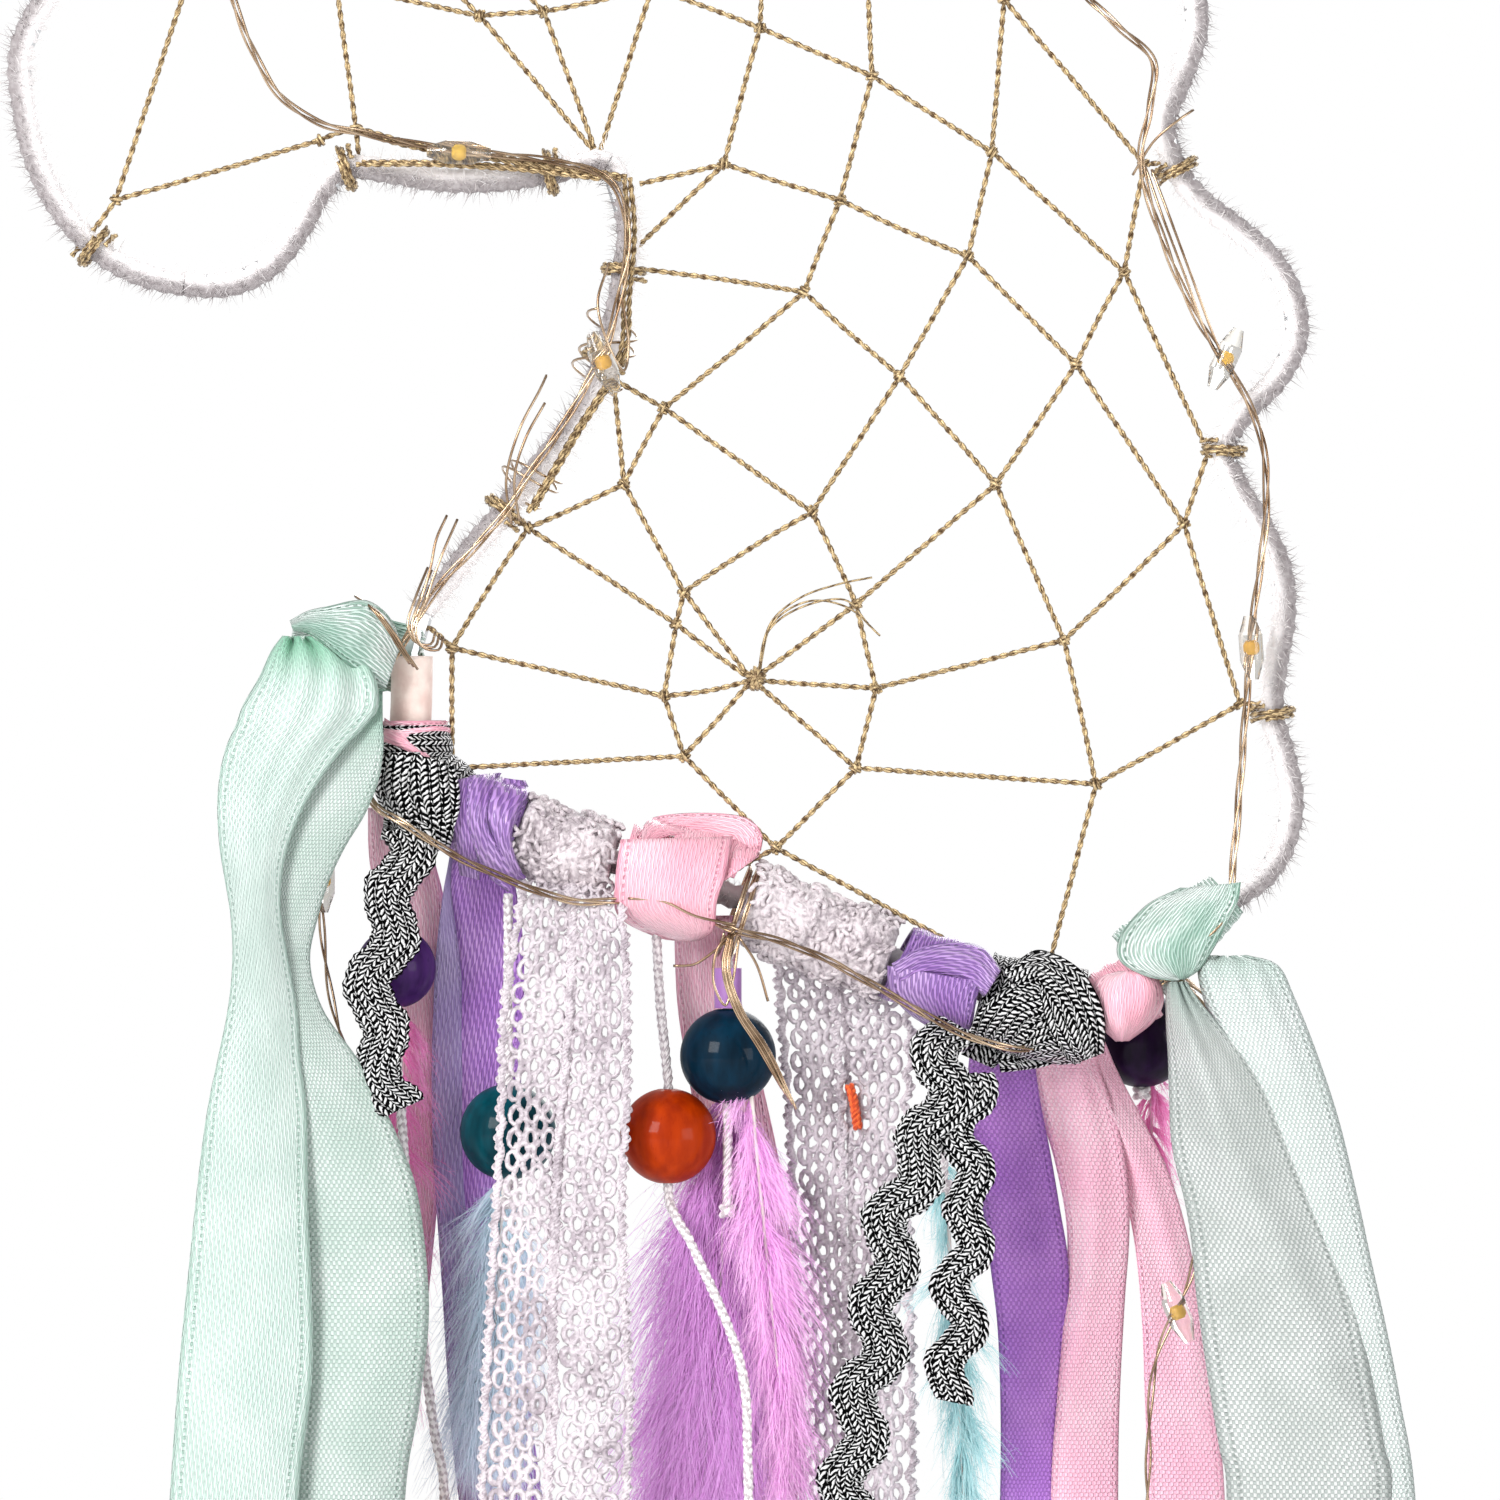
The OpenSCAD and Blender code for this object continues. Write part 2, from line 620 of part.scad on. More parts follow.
module tail_pink_middle() {
    end = -pink_drop;
    place() color(pink)
        back_tail([[-10, -34], [-2, -34], [0.5, -60], [3.9, -100], [4.1, -150], [4.2, end + 6], [-8, end],
            [-7, -150], [-4, -100], [-8, -60]]);
}

module tail_lace_right() {
    end = -lace_drop + 4;
    place() color(lace) {
        back_tail([[4, -40], [11.4, -40], [11.6, -80], [11.4, -130], [13, end], [5.5, end + 4], [4.8, -130],
            [5, -80], [4, -60]]);
        back_tail([[11.9, -40], [18.6, -40], [19.2, -80], [19, -130], [22, end + 8], [14.4, end + 3],
            [11.9, -130], [12.1, -80]]);
    }
}

module tail_rickrack_right() {
    end = -rickrack_drop;
    place() color(silver) {
        front_tail([[20.5, -45.5], [28, -45.5], [29, -51], [22.5, -65], [20.5, -74], [18, -84], [16.5, -92],
            [15.5, -110], [17, end], [11, end + 3], [9, -110], [9.5, -92], [11, -82], [13, -72],
            [15.5, -62],
            [19, -54]]);
        front_tail([[23.6, -64], [28, -53.5], [29, -60], [28.5, -72], [26, -80], [26, -88], [22, -87],
            [22, -78], [24.5, -70]]);
    }
}

module tail_purple_right() {
    end = -purple_drop + 4;
    place() color(purple)
        back_tail([[28, -48], [35.6, -48], [36.3, -54], [38, -66], [38.2, -80], [37.6, -104], [36, -150],
            [36, end], [26, end + 8], [27, -150], [32.6, -104], [31, -90], [29.2, -66]]);
}

module tail_pink_right() {
    end = -pink_drop;
    place() color(pink) {
        back_tail([[36.6, -49], [42.8, -49], [43.4, -58], [46, -75], [47, -100], [46, -150], [46, end + 4],
            [36.8, end + 12], [37, -150], [38.6, -104], [39.2, -80], [39, -66], [37.3, -54]]);
        back_tail([[45, -66], [51, -75], [54, -82], [58, -103], [60, -150], [62, end + 6], [52, end],
            [50, -150], [47.6, -100], [46.6, -75]]);
    }
}

module tail_mint_right() {
    end = -mint_drop;
    place() color(mint) {
        slab([[52, -36.5], [66, -36.5], [69.5, -46], [72.5, -60], [70, -104], [68, -150], [68, end + 8],
            [52, end + 2], [55, -150], [58, -103], [55.5, -80], [54.3, -65], [53, -50]],
            front_y - tail_t, front_y);
        slab([[60, -36.5], [67.5, -38], [71, -50], [74.5, -70], [78, -90], [81.5, -104], [84, -150],
        [86, end],
            [70, end + 6], [70, -150], [68, -104], [66, -80], [63, -60]],
            front_y - 2 * tail_t - 0.6, front_y - tail_t - 0.3);
    }
}

// --- Bead strings --------------------------------------------------------------------------------------------

module string(route) {
    place() color(white) tube(route, string_d);
}

module string_plum() {
    string(plum_route);
}

module bead_plum() {
    place() color([0.17, 0.08, 0.24]) bead(plum_at, plum_bead_d);
}

module feather_rose() {
    place() color([1, 0.68, 0.85]) feather([-46, 3.5, -46], 50, 12, -1);
}

module bead_amber() {
    place() color([0.85, 0.36, 0.08]) bead(amber_at, bead_d);
}

module string_sea() {
    string(sea_route);
}

module bead_sea() {
    place() color([0.04, 0.32, 0.36]) bead(sea_at, bead_d);
}

module feather_lilac() {
    place() color([0.76, 0.82, 0.9]) feather([-31.5, 2.8, -64], 32, 13, -1);
}

module string_orange() {
    string(orange_route);
}

module bead_orange() {
    place() color([0.8, 0.3, 0.08]) bead(orange_at, bead_d);
}

module string_teal() {
    string(teal_route);
}

module bead_teal() {
    place() color([0.04, 0.32, 0.42]) bead(teal_at, bead_d);
}

// A short tube on the front of the teal bead's cord
module tube_bead() {
    place() color([0.5, 0.32, 0.6]) translate([-3, 0, -41]) difference() {
        cylinder(d = 3.4, h = 5);
        translate([0, 0, -1]) cylinder(d = string_d + 0.4, h = 7);
    }
}

module feather_purple() {
    place() color([0.72, 0.5, 0.86]) feather([-5.5, 2.8, -64], 52, 19, -1);
}

module feather_blush() {
    place() color([0.98, 0.75, 0.86]) feather([4, -1.5, -58], 46, 4.4, 1);
}

module string_aqua() {
    string(aqua_route);
}

module feather_aqua() {
    place() color([0.68, 0.88, 0.9]) feather([24, 5, -62], 56, 7.5, 3);
}

module string_grape() {
    string(grape_route);
}

module bead_grape() {
    place() color([0.12, 0.05, 0.17]) bead(grape_at, bead_d);
}

module feather_pink() {
    place() color([1, 0.7, 0.84]) feather([50, 12, -51.5], 11, 7.5);
}

frame_wire();
plush_jaw();
plush_nose();
plush_brow();
plush_ear();
plush_crest();
plush_mane();
plush_bar();
plush_neck();
horn();
horn_cord();
web_twine();
light_wire();
light_ends();
led_drops();
light_pigtail();
battery_case();
battery_cover();
coin_cells();
battery_contacts();
switch_slider();
hanging_ribbon();
knots_mint();
knots_pink();
knots_purple();
knots_lace();
knots_rickrack();
tail_mint_left();
tail_rickrack_left();
tail_pink_left();
tail_purple_left();
tail_lace_left();
tail_pink_middle();
tail_lace_right();
tail_rickrack_right();
tail_purple_right();
tail_pink_right();
tail_mint_right();
string_plum();
bead_plum();
feather_rose();
bead_amber();
string_sea();
bead_sea();
feather_lilac();
string_orange();
bead_orange();
string_teal();
bead_teal();
tube_bead();
feather_purple();
feather_blush();
string_aqua();
feather_aqua();
string_grape();
bead_grape();
feather_pink();
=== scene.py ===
"""The looks of the unicorn-head dream catcher, made round its CAD frame.

A point is written as in the part's own plan: [across, depth, up], in millimetres from the centre of the web,
with the front towards negative depth. Every piece is moved to the row frame as it is made.
"""

import math

import bpy
import numpy as np
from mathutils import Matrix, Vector


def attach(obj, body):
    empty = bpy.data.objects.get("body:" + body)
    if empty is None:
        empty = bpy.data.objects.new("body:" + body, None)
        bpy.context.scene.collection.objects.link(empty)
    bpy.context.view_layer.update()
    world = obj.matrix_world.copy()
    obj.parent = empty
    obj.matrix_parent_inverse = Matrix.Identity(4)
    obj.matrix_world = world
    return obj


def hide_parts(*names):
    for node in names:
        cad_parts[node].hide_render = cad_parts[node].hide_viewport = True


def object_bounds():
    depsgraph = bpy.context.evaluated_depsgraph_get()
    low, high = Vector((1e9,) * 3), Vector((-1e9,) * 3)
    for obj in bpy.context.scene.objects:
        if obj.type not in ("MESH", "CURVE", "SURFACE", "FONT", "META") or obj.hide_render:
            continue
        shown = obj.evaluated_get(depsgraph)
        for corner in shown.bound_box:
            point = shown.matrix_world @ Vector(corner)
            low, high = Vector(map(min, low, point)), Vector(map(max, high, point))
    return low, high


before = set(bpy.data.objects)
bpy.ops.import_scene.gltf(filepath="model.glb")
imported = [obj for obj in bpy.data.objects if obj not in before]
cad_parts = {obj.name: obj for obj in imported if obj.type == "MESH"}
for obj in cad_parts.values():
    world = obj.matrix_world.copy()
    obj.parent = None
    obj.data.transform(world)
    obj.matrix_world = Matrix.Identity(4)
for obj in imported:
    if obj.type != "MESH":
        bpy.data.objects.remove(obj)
cad_low, cad_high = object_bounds()

MM = 0.001
WEB_CENTRE = np.array([-6.0, 0.0, -205.0])  # from the nail, in mm
TAU = 2 * math.pi

# --- Points, lines and surfaces -------------------------------------------------------------------------------


def unit(v):
    return v / np.maximum(np.linalg.norm(v, axis=-1, keepdims=True), 1e-12)


def smooth(points, step=1.0):
    """A smooth line through the points, with its own points about step apart. It may have more than 3 columns."""
    p = np.array(points, float)
    ends = np.vstack([2 * p[0] - p[1], p, 2 * p[-1] - p[-2]])
    line = []
    for i in range(len(p) - 1):
        a, b, c, d = ends[i : i + 4]
        count = max(2, math.ceil(np.linalg.norm(c[:3] - b[:3]) / step))
        t = np.linspace(0, 1, count, endpoint=False)[:, None]
        line.append(0.5 * (2 * b + (c - a) * t + (2 * a - 5 * b + 4 * c - d) * t**2 + (3 * b - a - 3 * c + d) * t**3))
    return np.vstack([*line, p[-1:]])


def stand(plan, depth=0.0):
    """[across, up] points as [across, depth, up] points."""
    plan = np.array(plan, float)
    return np.stack([plan[:, 0], np.full(len(plan), depth), plan[:, 1]], axis=1)


def lengths(line):
    """How far along the line each of its points is."""
    return np.concatenate([[0], np.cumsum(np.linalg.norm(np.diff(line[:, :3], axis=0), axis=1))])


def carried(line):
    """Headings along a line, and two directions square to them that turn as little as they can."""
    along = unit(np.gradient(line, axis=0))
    first = np.cross(along[0], [0.0, 1.0, 0.0])
    if np.linalg.norm(first) < 0.1:
        first = np.array([1.0, 0.0, 0.0])
    normals = [unit(first)]
    for heading in along[1:]:
        normals.append(unit(normals[-1] - heading * np.dot(normals[-1], heading)))
    a = np.array(normals)
    return along, a, np.cross(along, a)


def quads(rows, columns, ring=False, flip=False):
    """Faces of a grid of points. Its columns may close into a ring."""
    i, k = np.meshgrid(np.arange(rows - 1), np.arange(columns - (not ring)), indexing="ij")
    j = (k + 1) % columns
    corners = [i * columns + k, i * columns + j, (i + 1) * columns + j, (i + 1) * columns + k]
    faces = np.stack(corners, -1).reshape(-1, 4)
    return faces[:, ::-1] if flip else faces


def ring_of(sides):
    """Angles round a circle."""
    return np.linspace(0, TAU, sides, endpoint=False)


def tube(line, radius, sides=6):
    """A round cord. radius is one number, one per point, or one per point and side."""
    n = len(line)
    _, a, b = carried(line)
    radius = np.asarray(radius, float)
    radius = radius[:, None] if radius.ndim == 1 else radius
    radius = np.broadcast_to(radius, (n, sides))
    angle = ring_of(sides)
    spokes = np.cos(angle)[None, :, None] * a[:, None] + np.sin(angle)[None, :, None] * b[:, None]
    points = (line[:, None] + spokes * radius[..., None]).reshape(-1, 3)
    points = np.vstack([points, line[0], line[-1]])
    k = np.arange(sides)
    j = (k + 1) % sides
    last = (n - 1) * sides
    centres = np.full((2, sides), [[n * sides], [n * sides + 1]])
    caps = np.vstack([np.stack([centres[0], j, k], -1), np.stack([centres[1], last + k, last + j], -1)])
    s = lengths(line)
    lay = np.stack([np.repeat(s, sides), np.tile(angle, n), np.repeat(s / max(s[-1], 1e-9), sides)], -1)
    lay = np.vstack([lay, [s[0], 0, 0], [s[-1], 0, 1]])
    return points, [quads(n, sides, ring=True), caps], lay


def strands(line, count, radius, offset, pitch, sides=5, start=0.0):
    """The twisted strands of a cord along a line. They lie offset from it and turn once in a pitch."""
    _, a, b = carried(line)
    s = lengths(line)
    for k in range(count):
        angle = (TAU * (s / pitch + k / count) + start)[:, None]
        yield tube(line + offset * (np.cos(angle) * a + np.sin(angle) * b), radius, sides)


def cloth(grid, thickness=0.2, width=None, rim=0.5):
    """A thin closed cloth over a grid of points, with rows along it and columns across. rim thickens its edges."""
    n, m, _ = grid.shape
    normal = unit(np.cross(np.gradient(grid, axis=1), np.gradient(grid, axis=0)))
    share = np.linspace(0, 1, m)
    edge = np.exp(-(((0.5 - np.abs(share - 0.5)) * m / 1.2) ** 2))
    half = thickness / 2 * (1 + rim * edge)[None, :, None]
    points = np.vstack([(grid + normal * half).reshape(-1, 3), (grid - normal * half).reshape(-1, 3)])
    front = np.arange(n * m).reshape(n, m)
    back = front + n * m
    rims = []
    for f, b in ((front[:, 0], back[:, 0]), (back[:, -1], front[:, -1]), (back[0], front[0]), (front[-1], back[-1])):
        rims.append(np.stack([f[:-1], f[1:], b[1:], b[:-1]], -1))
    faces = np.vstack([quads(n, m), quads(n, m, flip=True) + n * m, *rims])
    s = lengths(grid[:, m // 2])
    width = width or np.linalg.norm(grid[n // 2, -1] - grid[n // 2, 0])
    lay = np.stack([np.repeat(s, m), np.tile((share - 0.5) * width, n), np.tile(share, n)], -1)
    return points, [faces], np.vstack([lay, lay])


def strip(rows, columns=13, step=1.1, cut=0.0, gather=0.0, ripple=0.0, start=0.0, fold=None, flat=1.0):
    """A hanging strip's grid, from rows of [height, left edge, right edge, left depth, right depth, bulge], or with
    one depth for both edges. cut slants its lower end, gather pleats its top, and ripple is the size of the waves
    down its length. fold is a ridge: the shares across where it starts and ends, its length and its height. flat
    makes the bulges smaller."""
    rows = np.array(rows, float)
    if rows.shape[1] == 5:
        rows = np.insert(rows, 4, rows[:, 3], axis=1)
    rows[:, 5] *= flat
    v, left, right, left_y, right_y, bulge = smooth(rows, step).T[:, :, None]
    t = np.linspace(0, 1, columns)[None]
    s = v[0] - v
    u = left + (right - left) * t
    y = left_y + (right_y - left_y) * t - bulge * 4 * t * (1 - t)
    y = y + gather * np.exp(-s / 9) * np.cos(7 * math.pi * t + 0.6) + ripple * np.sin(s / 11 + 2.2 * t + start)
    y = y + 0.4 * ripple * np.sin(s / 5.3 - 3 * t + 2 * start)
    if fold:
        first, last, over, height = fold
        ridge = t - (first + (last - first) * np.clip(s / over, 0, 1))
        dying = np.clip(1.6 - s / over, 0, 1)
        y = y - height * np.exp(-((ridge / 0.16) ** 2)) * dying
        y = y + 0.7 * height * np.exp(-(((ridge + 0.3) / 0.2) ** 2)) * dying
    fade = np.clip(1 - (s[-1] - s) / 14, 0, 1) ** 2
    return np.stack([u, y, v + cut * (t - 0.5) * fade], -1)


def sample(grid, i, k):
    """Points between a grid's points, at fractional rows and columns."""
    n, m, _ = grid.shape
    i, k = np.clip(i, 0, n - 1.001), np.clip(k, 0, m - 1.001)
    i0, k0 = i.astype(int), k.astype(int)
    f, g = (i - i0)[..., None], (k - k0)[..., None]
    top = grid[i0, k0] * (1 - g) + grid[i0, k0 + 1] * g
    low = grid[i0 + 1, k0] * (1 - g) + grid[i0 + 1, k0 + 1] * g
    return top * (1 - f) + low * f


class Shape:
    """Parts gathered into one mesh. A part is its points, its blocks of faces and its lay, an attribute that holds
    [mm along, mm or angle across, share] for each point."""

    def __init__(self):
        self.points, self.lay, self.loops, self.sizes, self.paint = [], [], [], [], []
        self.count = 0

    def add(self, part, paint=0):
        points, faces, lay = part
        for block in faces:
            self.loops.append((block + self.count).ravel())
            self.sizes.append(np.full(len(block), block.shape[1]))
            self.paint.append(np.full(len(block), paint))
        self.points.append(points)
        self.lay.append(lay)
        self.count += len(points)
        return self

    def add_all(self, parts, paint=0):
        for part in parts:
            self.add(part, paint)
        return self

    def piece(self, name, body, materials, slot, *nodes):
        """The finished object, which rides on a body and stands for CAD nodes."""
        points = (np.vstack(self.points) + WEB_CENTRE) * MM
        loops, sizes = np.concatenate(self.loops), np.concatenate(self.sizes)
        mesh = bpy.data.meshes.new(name)
        mesh.vertices.add(len(points))
        mesh.vertices.foreach_set("co", points.astype(np.float32).ravel())
        mesh.loops.add(len(loops))
        mesh.loops.foreach_set("vertex_index", loops.astype(np.int32))
        mesh.polygons.add(len(sizes))
        mesh.polygons.foreach_set("loop_start", (np.cumsum(sizes) - sizes).astype(np.int32))
        mesh.polygons.foreach_set("material_index", np.concatenate(self.paint).astype(np.int32))
        mesh.polygons.foreach_set("use_smooth", np.full(len(sizes), True))
        mesh.update(calc_edges=True)
        lay = mesh.attributes.new("lay", "FLOAT_VECTOR", "POINT")
        lay.data.foreach_set("vector", np.vstack(self.lay).astype(np.float32).ravel())
        for material in materials if isinstance(materials, (list, tuple)) else [materials]:
            mesh.materials.append(material)
        made = bpy.data.objects.new(name, mesh)
        bpy.context.scene.collection.objects.link(made)
        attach(made, body)
        if nodes:
            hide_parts(*nodes)
        return made


# --- Materials ------------------------------------------------------------------------------------------------

SOFT_DEPTH = 2 * MM  # how deep light goes into soft threads


def tint(code):
    """A colour's linear values, from its code for a display."""
    channels = [code >> shift & 255 for shift in (16, 8, 0)]
    return (*((x / 255 / 12.92) if x < 10.3 else ((x / 255 + 0.055) / 1.055) ** 2.4 for x in channels), 1.0)


class Value:
    """A value in a material's nodes, with the usual arithmetic."""

    def __init__(self, paint, socket):
        self.paint, self.socket = paint, socket

    def __add__(self, other):
        return self.paint.math("ADD", self, other)

    def __radd__(self, other):
        return self.paint.math("ADD", other, self)

    def __sub__(self, other):
        return self.paint.math("SUBTRACT", self, other)

    def __rsub__(self, other):
        return self.paint.math("SUBTRACT", other, self)

    def __mul__(self, other):
        return self.paint.math("MULTIPLY", self, other)

    def __abs__(self):
        return self.paint.math("ABSOLUTE", self)


class Paint:
    """A material under construction."""

    def __init__(self, name, **shader):
        self.material = bpy.data.materials.new(name)
        self.material.use_nodes = True
        self.tree = self.material.node_tree
        self.shader = self.tree.nodes["Principled BSDF"]
        for key, value in shader.items():
            self.shader.inputs[key.replace("_", " ")].default_value = value

    def node(self, kind, inputs=None, out=0, **settings):
        made = self.tree.nodes.new("ShaderNode" + kind)
        for key, value in settings.items():
            setattr(made, key, value)
        for key, value in (inputs or {}).items():
            if isinstance(value, Value):
                self.tree.links.new(value.socket, made.inputs[key])
            else:
                made.inputs[key].default_value = value
        return Value(self, made.outputs[out])

    def math(self, operation, a, b=0.0):
        return self.node("Math", {0: a, 1: b, 2: 0.0}, operation=operation)

    def lay(self):
        """The along, across and share values of the surface."""
        found = self.node("Attribute", out=1, attribute_name="lay")
        split = self.tree.nodes.new("ShaderNodeSeparateXYZ")
        self.tree.links.new(found.socket, split.inputs[0])
        return [Value(self, socket) for socket in split.outputs]

    def place(self):
        return self.node("TexCoord", out=3)

    def vector(self, x, y):
        return self.node("CombineXYZ", {0: x, 1: y, 2: 0.0})

    def noise(self, scale, vector=None, detail=3.0):
        return self.node("TexNoise", {"Scale": scale, "Detail": detail, "Vector": vector or self.place()})

    def ramp(self, value, low, high):
        return self.node("MapRange", {0: value, 1: low, 2: high}, interpolation_type="SMOOTHSTEP")

    def mix(self, share, a, b):
        """A mix of two colours. Each is a node's colour, a display's code or a row of linear values."""
        a, b = (tint(x) if isinstance(x, int) else x for x in (a, b))
        return self.node("Mix", {0: share, 6: a, 7: b}, out=2, data_type="RGBA")

    def colour(self, value):
        self.tree.links.new(value.socket, self.shader.inputs["Base Color"])
        return self

    def bump(self, height, distance, strength=1.0):
        inputs = {"Height": height, "Distance": distance, "Strength": strength}
        self.tree.links.new(self.node("Bump", inputs).socket, self.shader.inputs["Normal"])
        return self

    def translucent(self):
        """Threads that light goes into, by as much as the shader's own subsurface weight says."""
        self.shader.inputs["Subsurface Radius"].default_value = (SOFT_DEPTH,) * 3


def satin(name, face, deep, light, weave, pinch_shade=None, depth=0.5, gloss=0.38, skew=0.0):
    """Satin ribbon with a corded edge and a row of stitches. weave holds the mm across and along from one raised
    thread to the next: long floats on its face, short ones on its basket-woven reverse. depth is how dark the
    gaps are, and skew slants its rows of floats. The colour that may follow the weave is painted shade: the
    colour that it deepens to where it leaves its knot, for the shade in the creases there."""
    p = Paint(name, Roughness=gloss, Sheen_Weight=0.15, Sheen_Roughness=0.4, Subsurface_Weight=0.06)
    p.translucent()
    along, across, share = p.lay()
    sway = p.noise(0.5, p.vector(along, across), 1.0) * 0.3
    over = p.math("SINE", (across + sway) * (TAU / weave[0]))
    slant = along + sway + across * skew
    under = p.math("SINE", slant * (TAU / weave[1]))
    gap = p.ramp(over * under, 0.35, -0.45)
    edge = abs(share - 0.5) * 2.0
    selvedge = p.ramp(edge, 0.9, 0.95)
    line = p.ramp(edge, 0.80, 0.84) * (1.0 - p.ramp(edge, 0.84, 0.88))
    stitches = line * p.ramp(p.math("SINE", along * 7.0), -0.2, 0.5)
    cloudy = p.noise(0.11, p.vector(along, across), 2.0)
    body = p.mix(p.ramp(cloudy, 0.35, 0.7), face, light)
    # Painted shade: within 10 mm of its knot the colour deepens to the shade colour given, for the creases there
    if pinch_shade:
        near = 1.0 - p.ramp(along, 0.0, 10.0)
        body = p.mix(near * 0.85, body, pinch_shade)
    thread = p.mix(gap * depth, body, deep)
    dark = p.math("MAXIMUM", stitches, selvedge * 0.6) * 0.7
    p.colour(p.mix(dark, thread, deep))
    fuzz = p.noise(7.0, p.vector(along * 0.2, across), 2.0)
    return p.bump(fuzz * 0.3 - (gap + stitches), 0.0002).material


def braid_paint(name, bright, dark):
    """Metallic rick-rack: columns of slanted stitches that meet in chevrons."""
    p = Paint(name, Metallic=0.4, Roughness=0.45, Specular_IOR_Level=0.05)
    along, across, _ = p.lay()
    column, stitch_long = 0.6, 0.74
    zig = p.math("PINGPONG", across, column)
    wobble = p.noise(1.1, p.vector(along, across)) * 0.9
    slant = along + zig * 1.5 + wobble
    stitch = p.math("SINE", slant * (TAU / stitch_long))
    groove = p.ramp(zig, 0.46, column) + p.ramp(zig, 0.12, 0.0)
    fleck = p.noise(1.9, p.vector(along, across), 2.0)
    value = stitch - groove * 1.3 + fleck * 3.4
    return p.colour(p.mix(p.ramp(value, 1.6, 1.9), dark, bright)).bump(value, 0.00016).material


def thread_paint(name, light, dark, metallic=0.0, roughness=0.8, turn=0.7, share=0.5, winding=0.35):
    """A spun thread or twine, with fine fibres that wind round it every turn mm. share sets how much is dark."""
    p = Paint(name, Metallic=metallic, Roughness=roughness, Sheen_Weight=0.2 * (1 - metallic))
    along, angle, _ = p.lay()
    wind = p.math("SINE", along * (TAU / turn) + angle)
    fleck = p.noise(2.2, p.vector(along, angle * 0.4), 2.0)
    value = wind * winding + fleck
    p.colour(p.mix(p.ramp(value, share - 0.22, share + 0.22), dark, light))
    return p.bump(value, 0.00008, 0.8).material


def wire_paint():
    p = Paint("copper_wire", Metallic=1.0, Roughness=0.24, Coat_Weight=0.4)
    return p.colour(p.mix(p.ramp(p.noise(180.0), 0.3, 0.7), 0x7E6248, 0xCEB496)).material


def cotton_paint(name, light, dark, scale=900.0):
    """Soft cotton, crocheted or knitted, with fibres at its surface."""
    p = Paint(name, Roughness=0.95, Sheen_Weight=0.3, Subsurface_Weight=0.15)
    p.translucent()
    fibre = p.noise(scale, detail=4.0)
    cloudy = p.noise(150.0)
    p.colour(p.mix(p.ramp(fibre * 0.6 + cloudy * 0.4, 0.35, 0.6), dark, light))
    return p.bump(fibre, 0.0004, 0.8).material


def pile_paint(name, root, tip):
    """Feather barbs, darker at the root than at the tip."""
    p = Paint(name, Roughness=0.75, Sheen_Weight=0.4)
    _, spread, share = p.lay()
    return p.colour(p.mix(p.ramp(share + (spread - 0.5) * 0.5, 0.0, 0.9), root, tip)).material


def plush_paint(name, shade, face, hair=True):
    """White plush with painted shade: greyer along the outer side of the outline and less grey towards the hairs'
    tips. Hairs hold that side's share, and the core its angle.
    """
    p = Paint(name, Roughness=0.85, Sheen_Weight=0.1)
    _, side, share = p.lay()
    outer = p.ramp(side, 0.3, 0.85) if hair else p.ramp(p.math("COSINE", side), -0.6, 0.4)
    fibre = p.noise(1400.0, detail=4.0)
    # Painted shade: grey on the outer side, broken up by the fibres and fading towards the hairs' tips
    painted_shade = outer * (0.55 + fibre * 0.7)
    if hair:
        painted_shade = painted_shade * (1.0 - share * 0.35)
    return p.colour(p.mix(painted_shade, face, shade)).bump(fibre, 0.0003, 0.6).material


def lacquer(name, light, dark):
    """Dyed wood under gloss lacquer: faint growth lines, small pores and a clear coat."""
    p = Paint(name, Roughness=0.5, Coat_Weight=0.14, Coat_Roughness=0.08, Specular_IOR_Level=0.05)
    stretch = p.node("Mapping", {0: p.place(), 3: (1.0, 1.0, 0.18)})
    grain = p.noise(700.0, stretch, 5.0)
    clouds = p.noise(110.0)
    pores = p.ramp(p.noise(2600.0, stretch, 2.0), 0.62, 0.72)
    base = p.mix(p.ramp(grain * 0.45 + clouds * 0.55, 0.3, 0.7), dark, light)
    return p.colour(p.mix(pores * 0.4, base, dark)).bump(grain + clouds, 0.00012, 0.3).material


def plastic(name, face, shade, roughness, grain):
    p = Paint(name, Roughness=roughness, Specular_IOR_Level=0.5)
    p.colour(p.mix(p.ramp(p.noise(60.0), 0.3, 0.7), shade, face))
    return p.bump(p.noise(grain, detail=1.0), 0.00003, 0.5).material


def metal(name, face, shade, roughness):
    p = Paint(name, Metallic=1.0, Roughness=roughness)
    brushed = p.noise(900.0, p.node("Mapping", {0: p.place(), 3: (0.05, 1.0, 1.0)}), 3.0)
    return p.colour(p.mix(brushed, shade, face)).bump(brushed, 0.00002, 0.5).material


def epoxy():
    p = Paint("led_epoxy", Roughness=0.05, IOR=1.5, Transmission_Weight=0.95)
    clouds = p.ramp(p.noise(300.0), 0.4, 0.7)
    return p.colour(p.mix(clouds, (1.0, 0.98, 0.93, 1), (0.95, 0.92, 0.84, 1))).material


def floor_paint():
    p = Paint("floor", Roughness=0.8)
    return p.colour(p.mix(p.ramp(p.noise(3.0), 0.3, 0.7), (0.86, 0.86, 0.86, 1), (0.9, 0.9, 0.9, 1))).material


# Weaves: mm across and along from one raised thread to the next
BASKET, FLOATS = (0.72, 1.02), (0.5, 3.4)

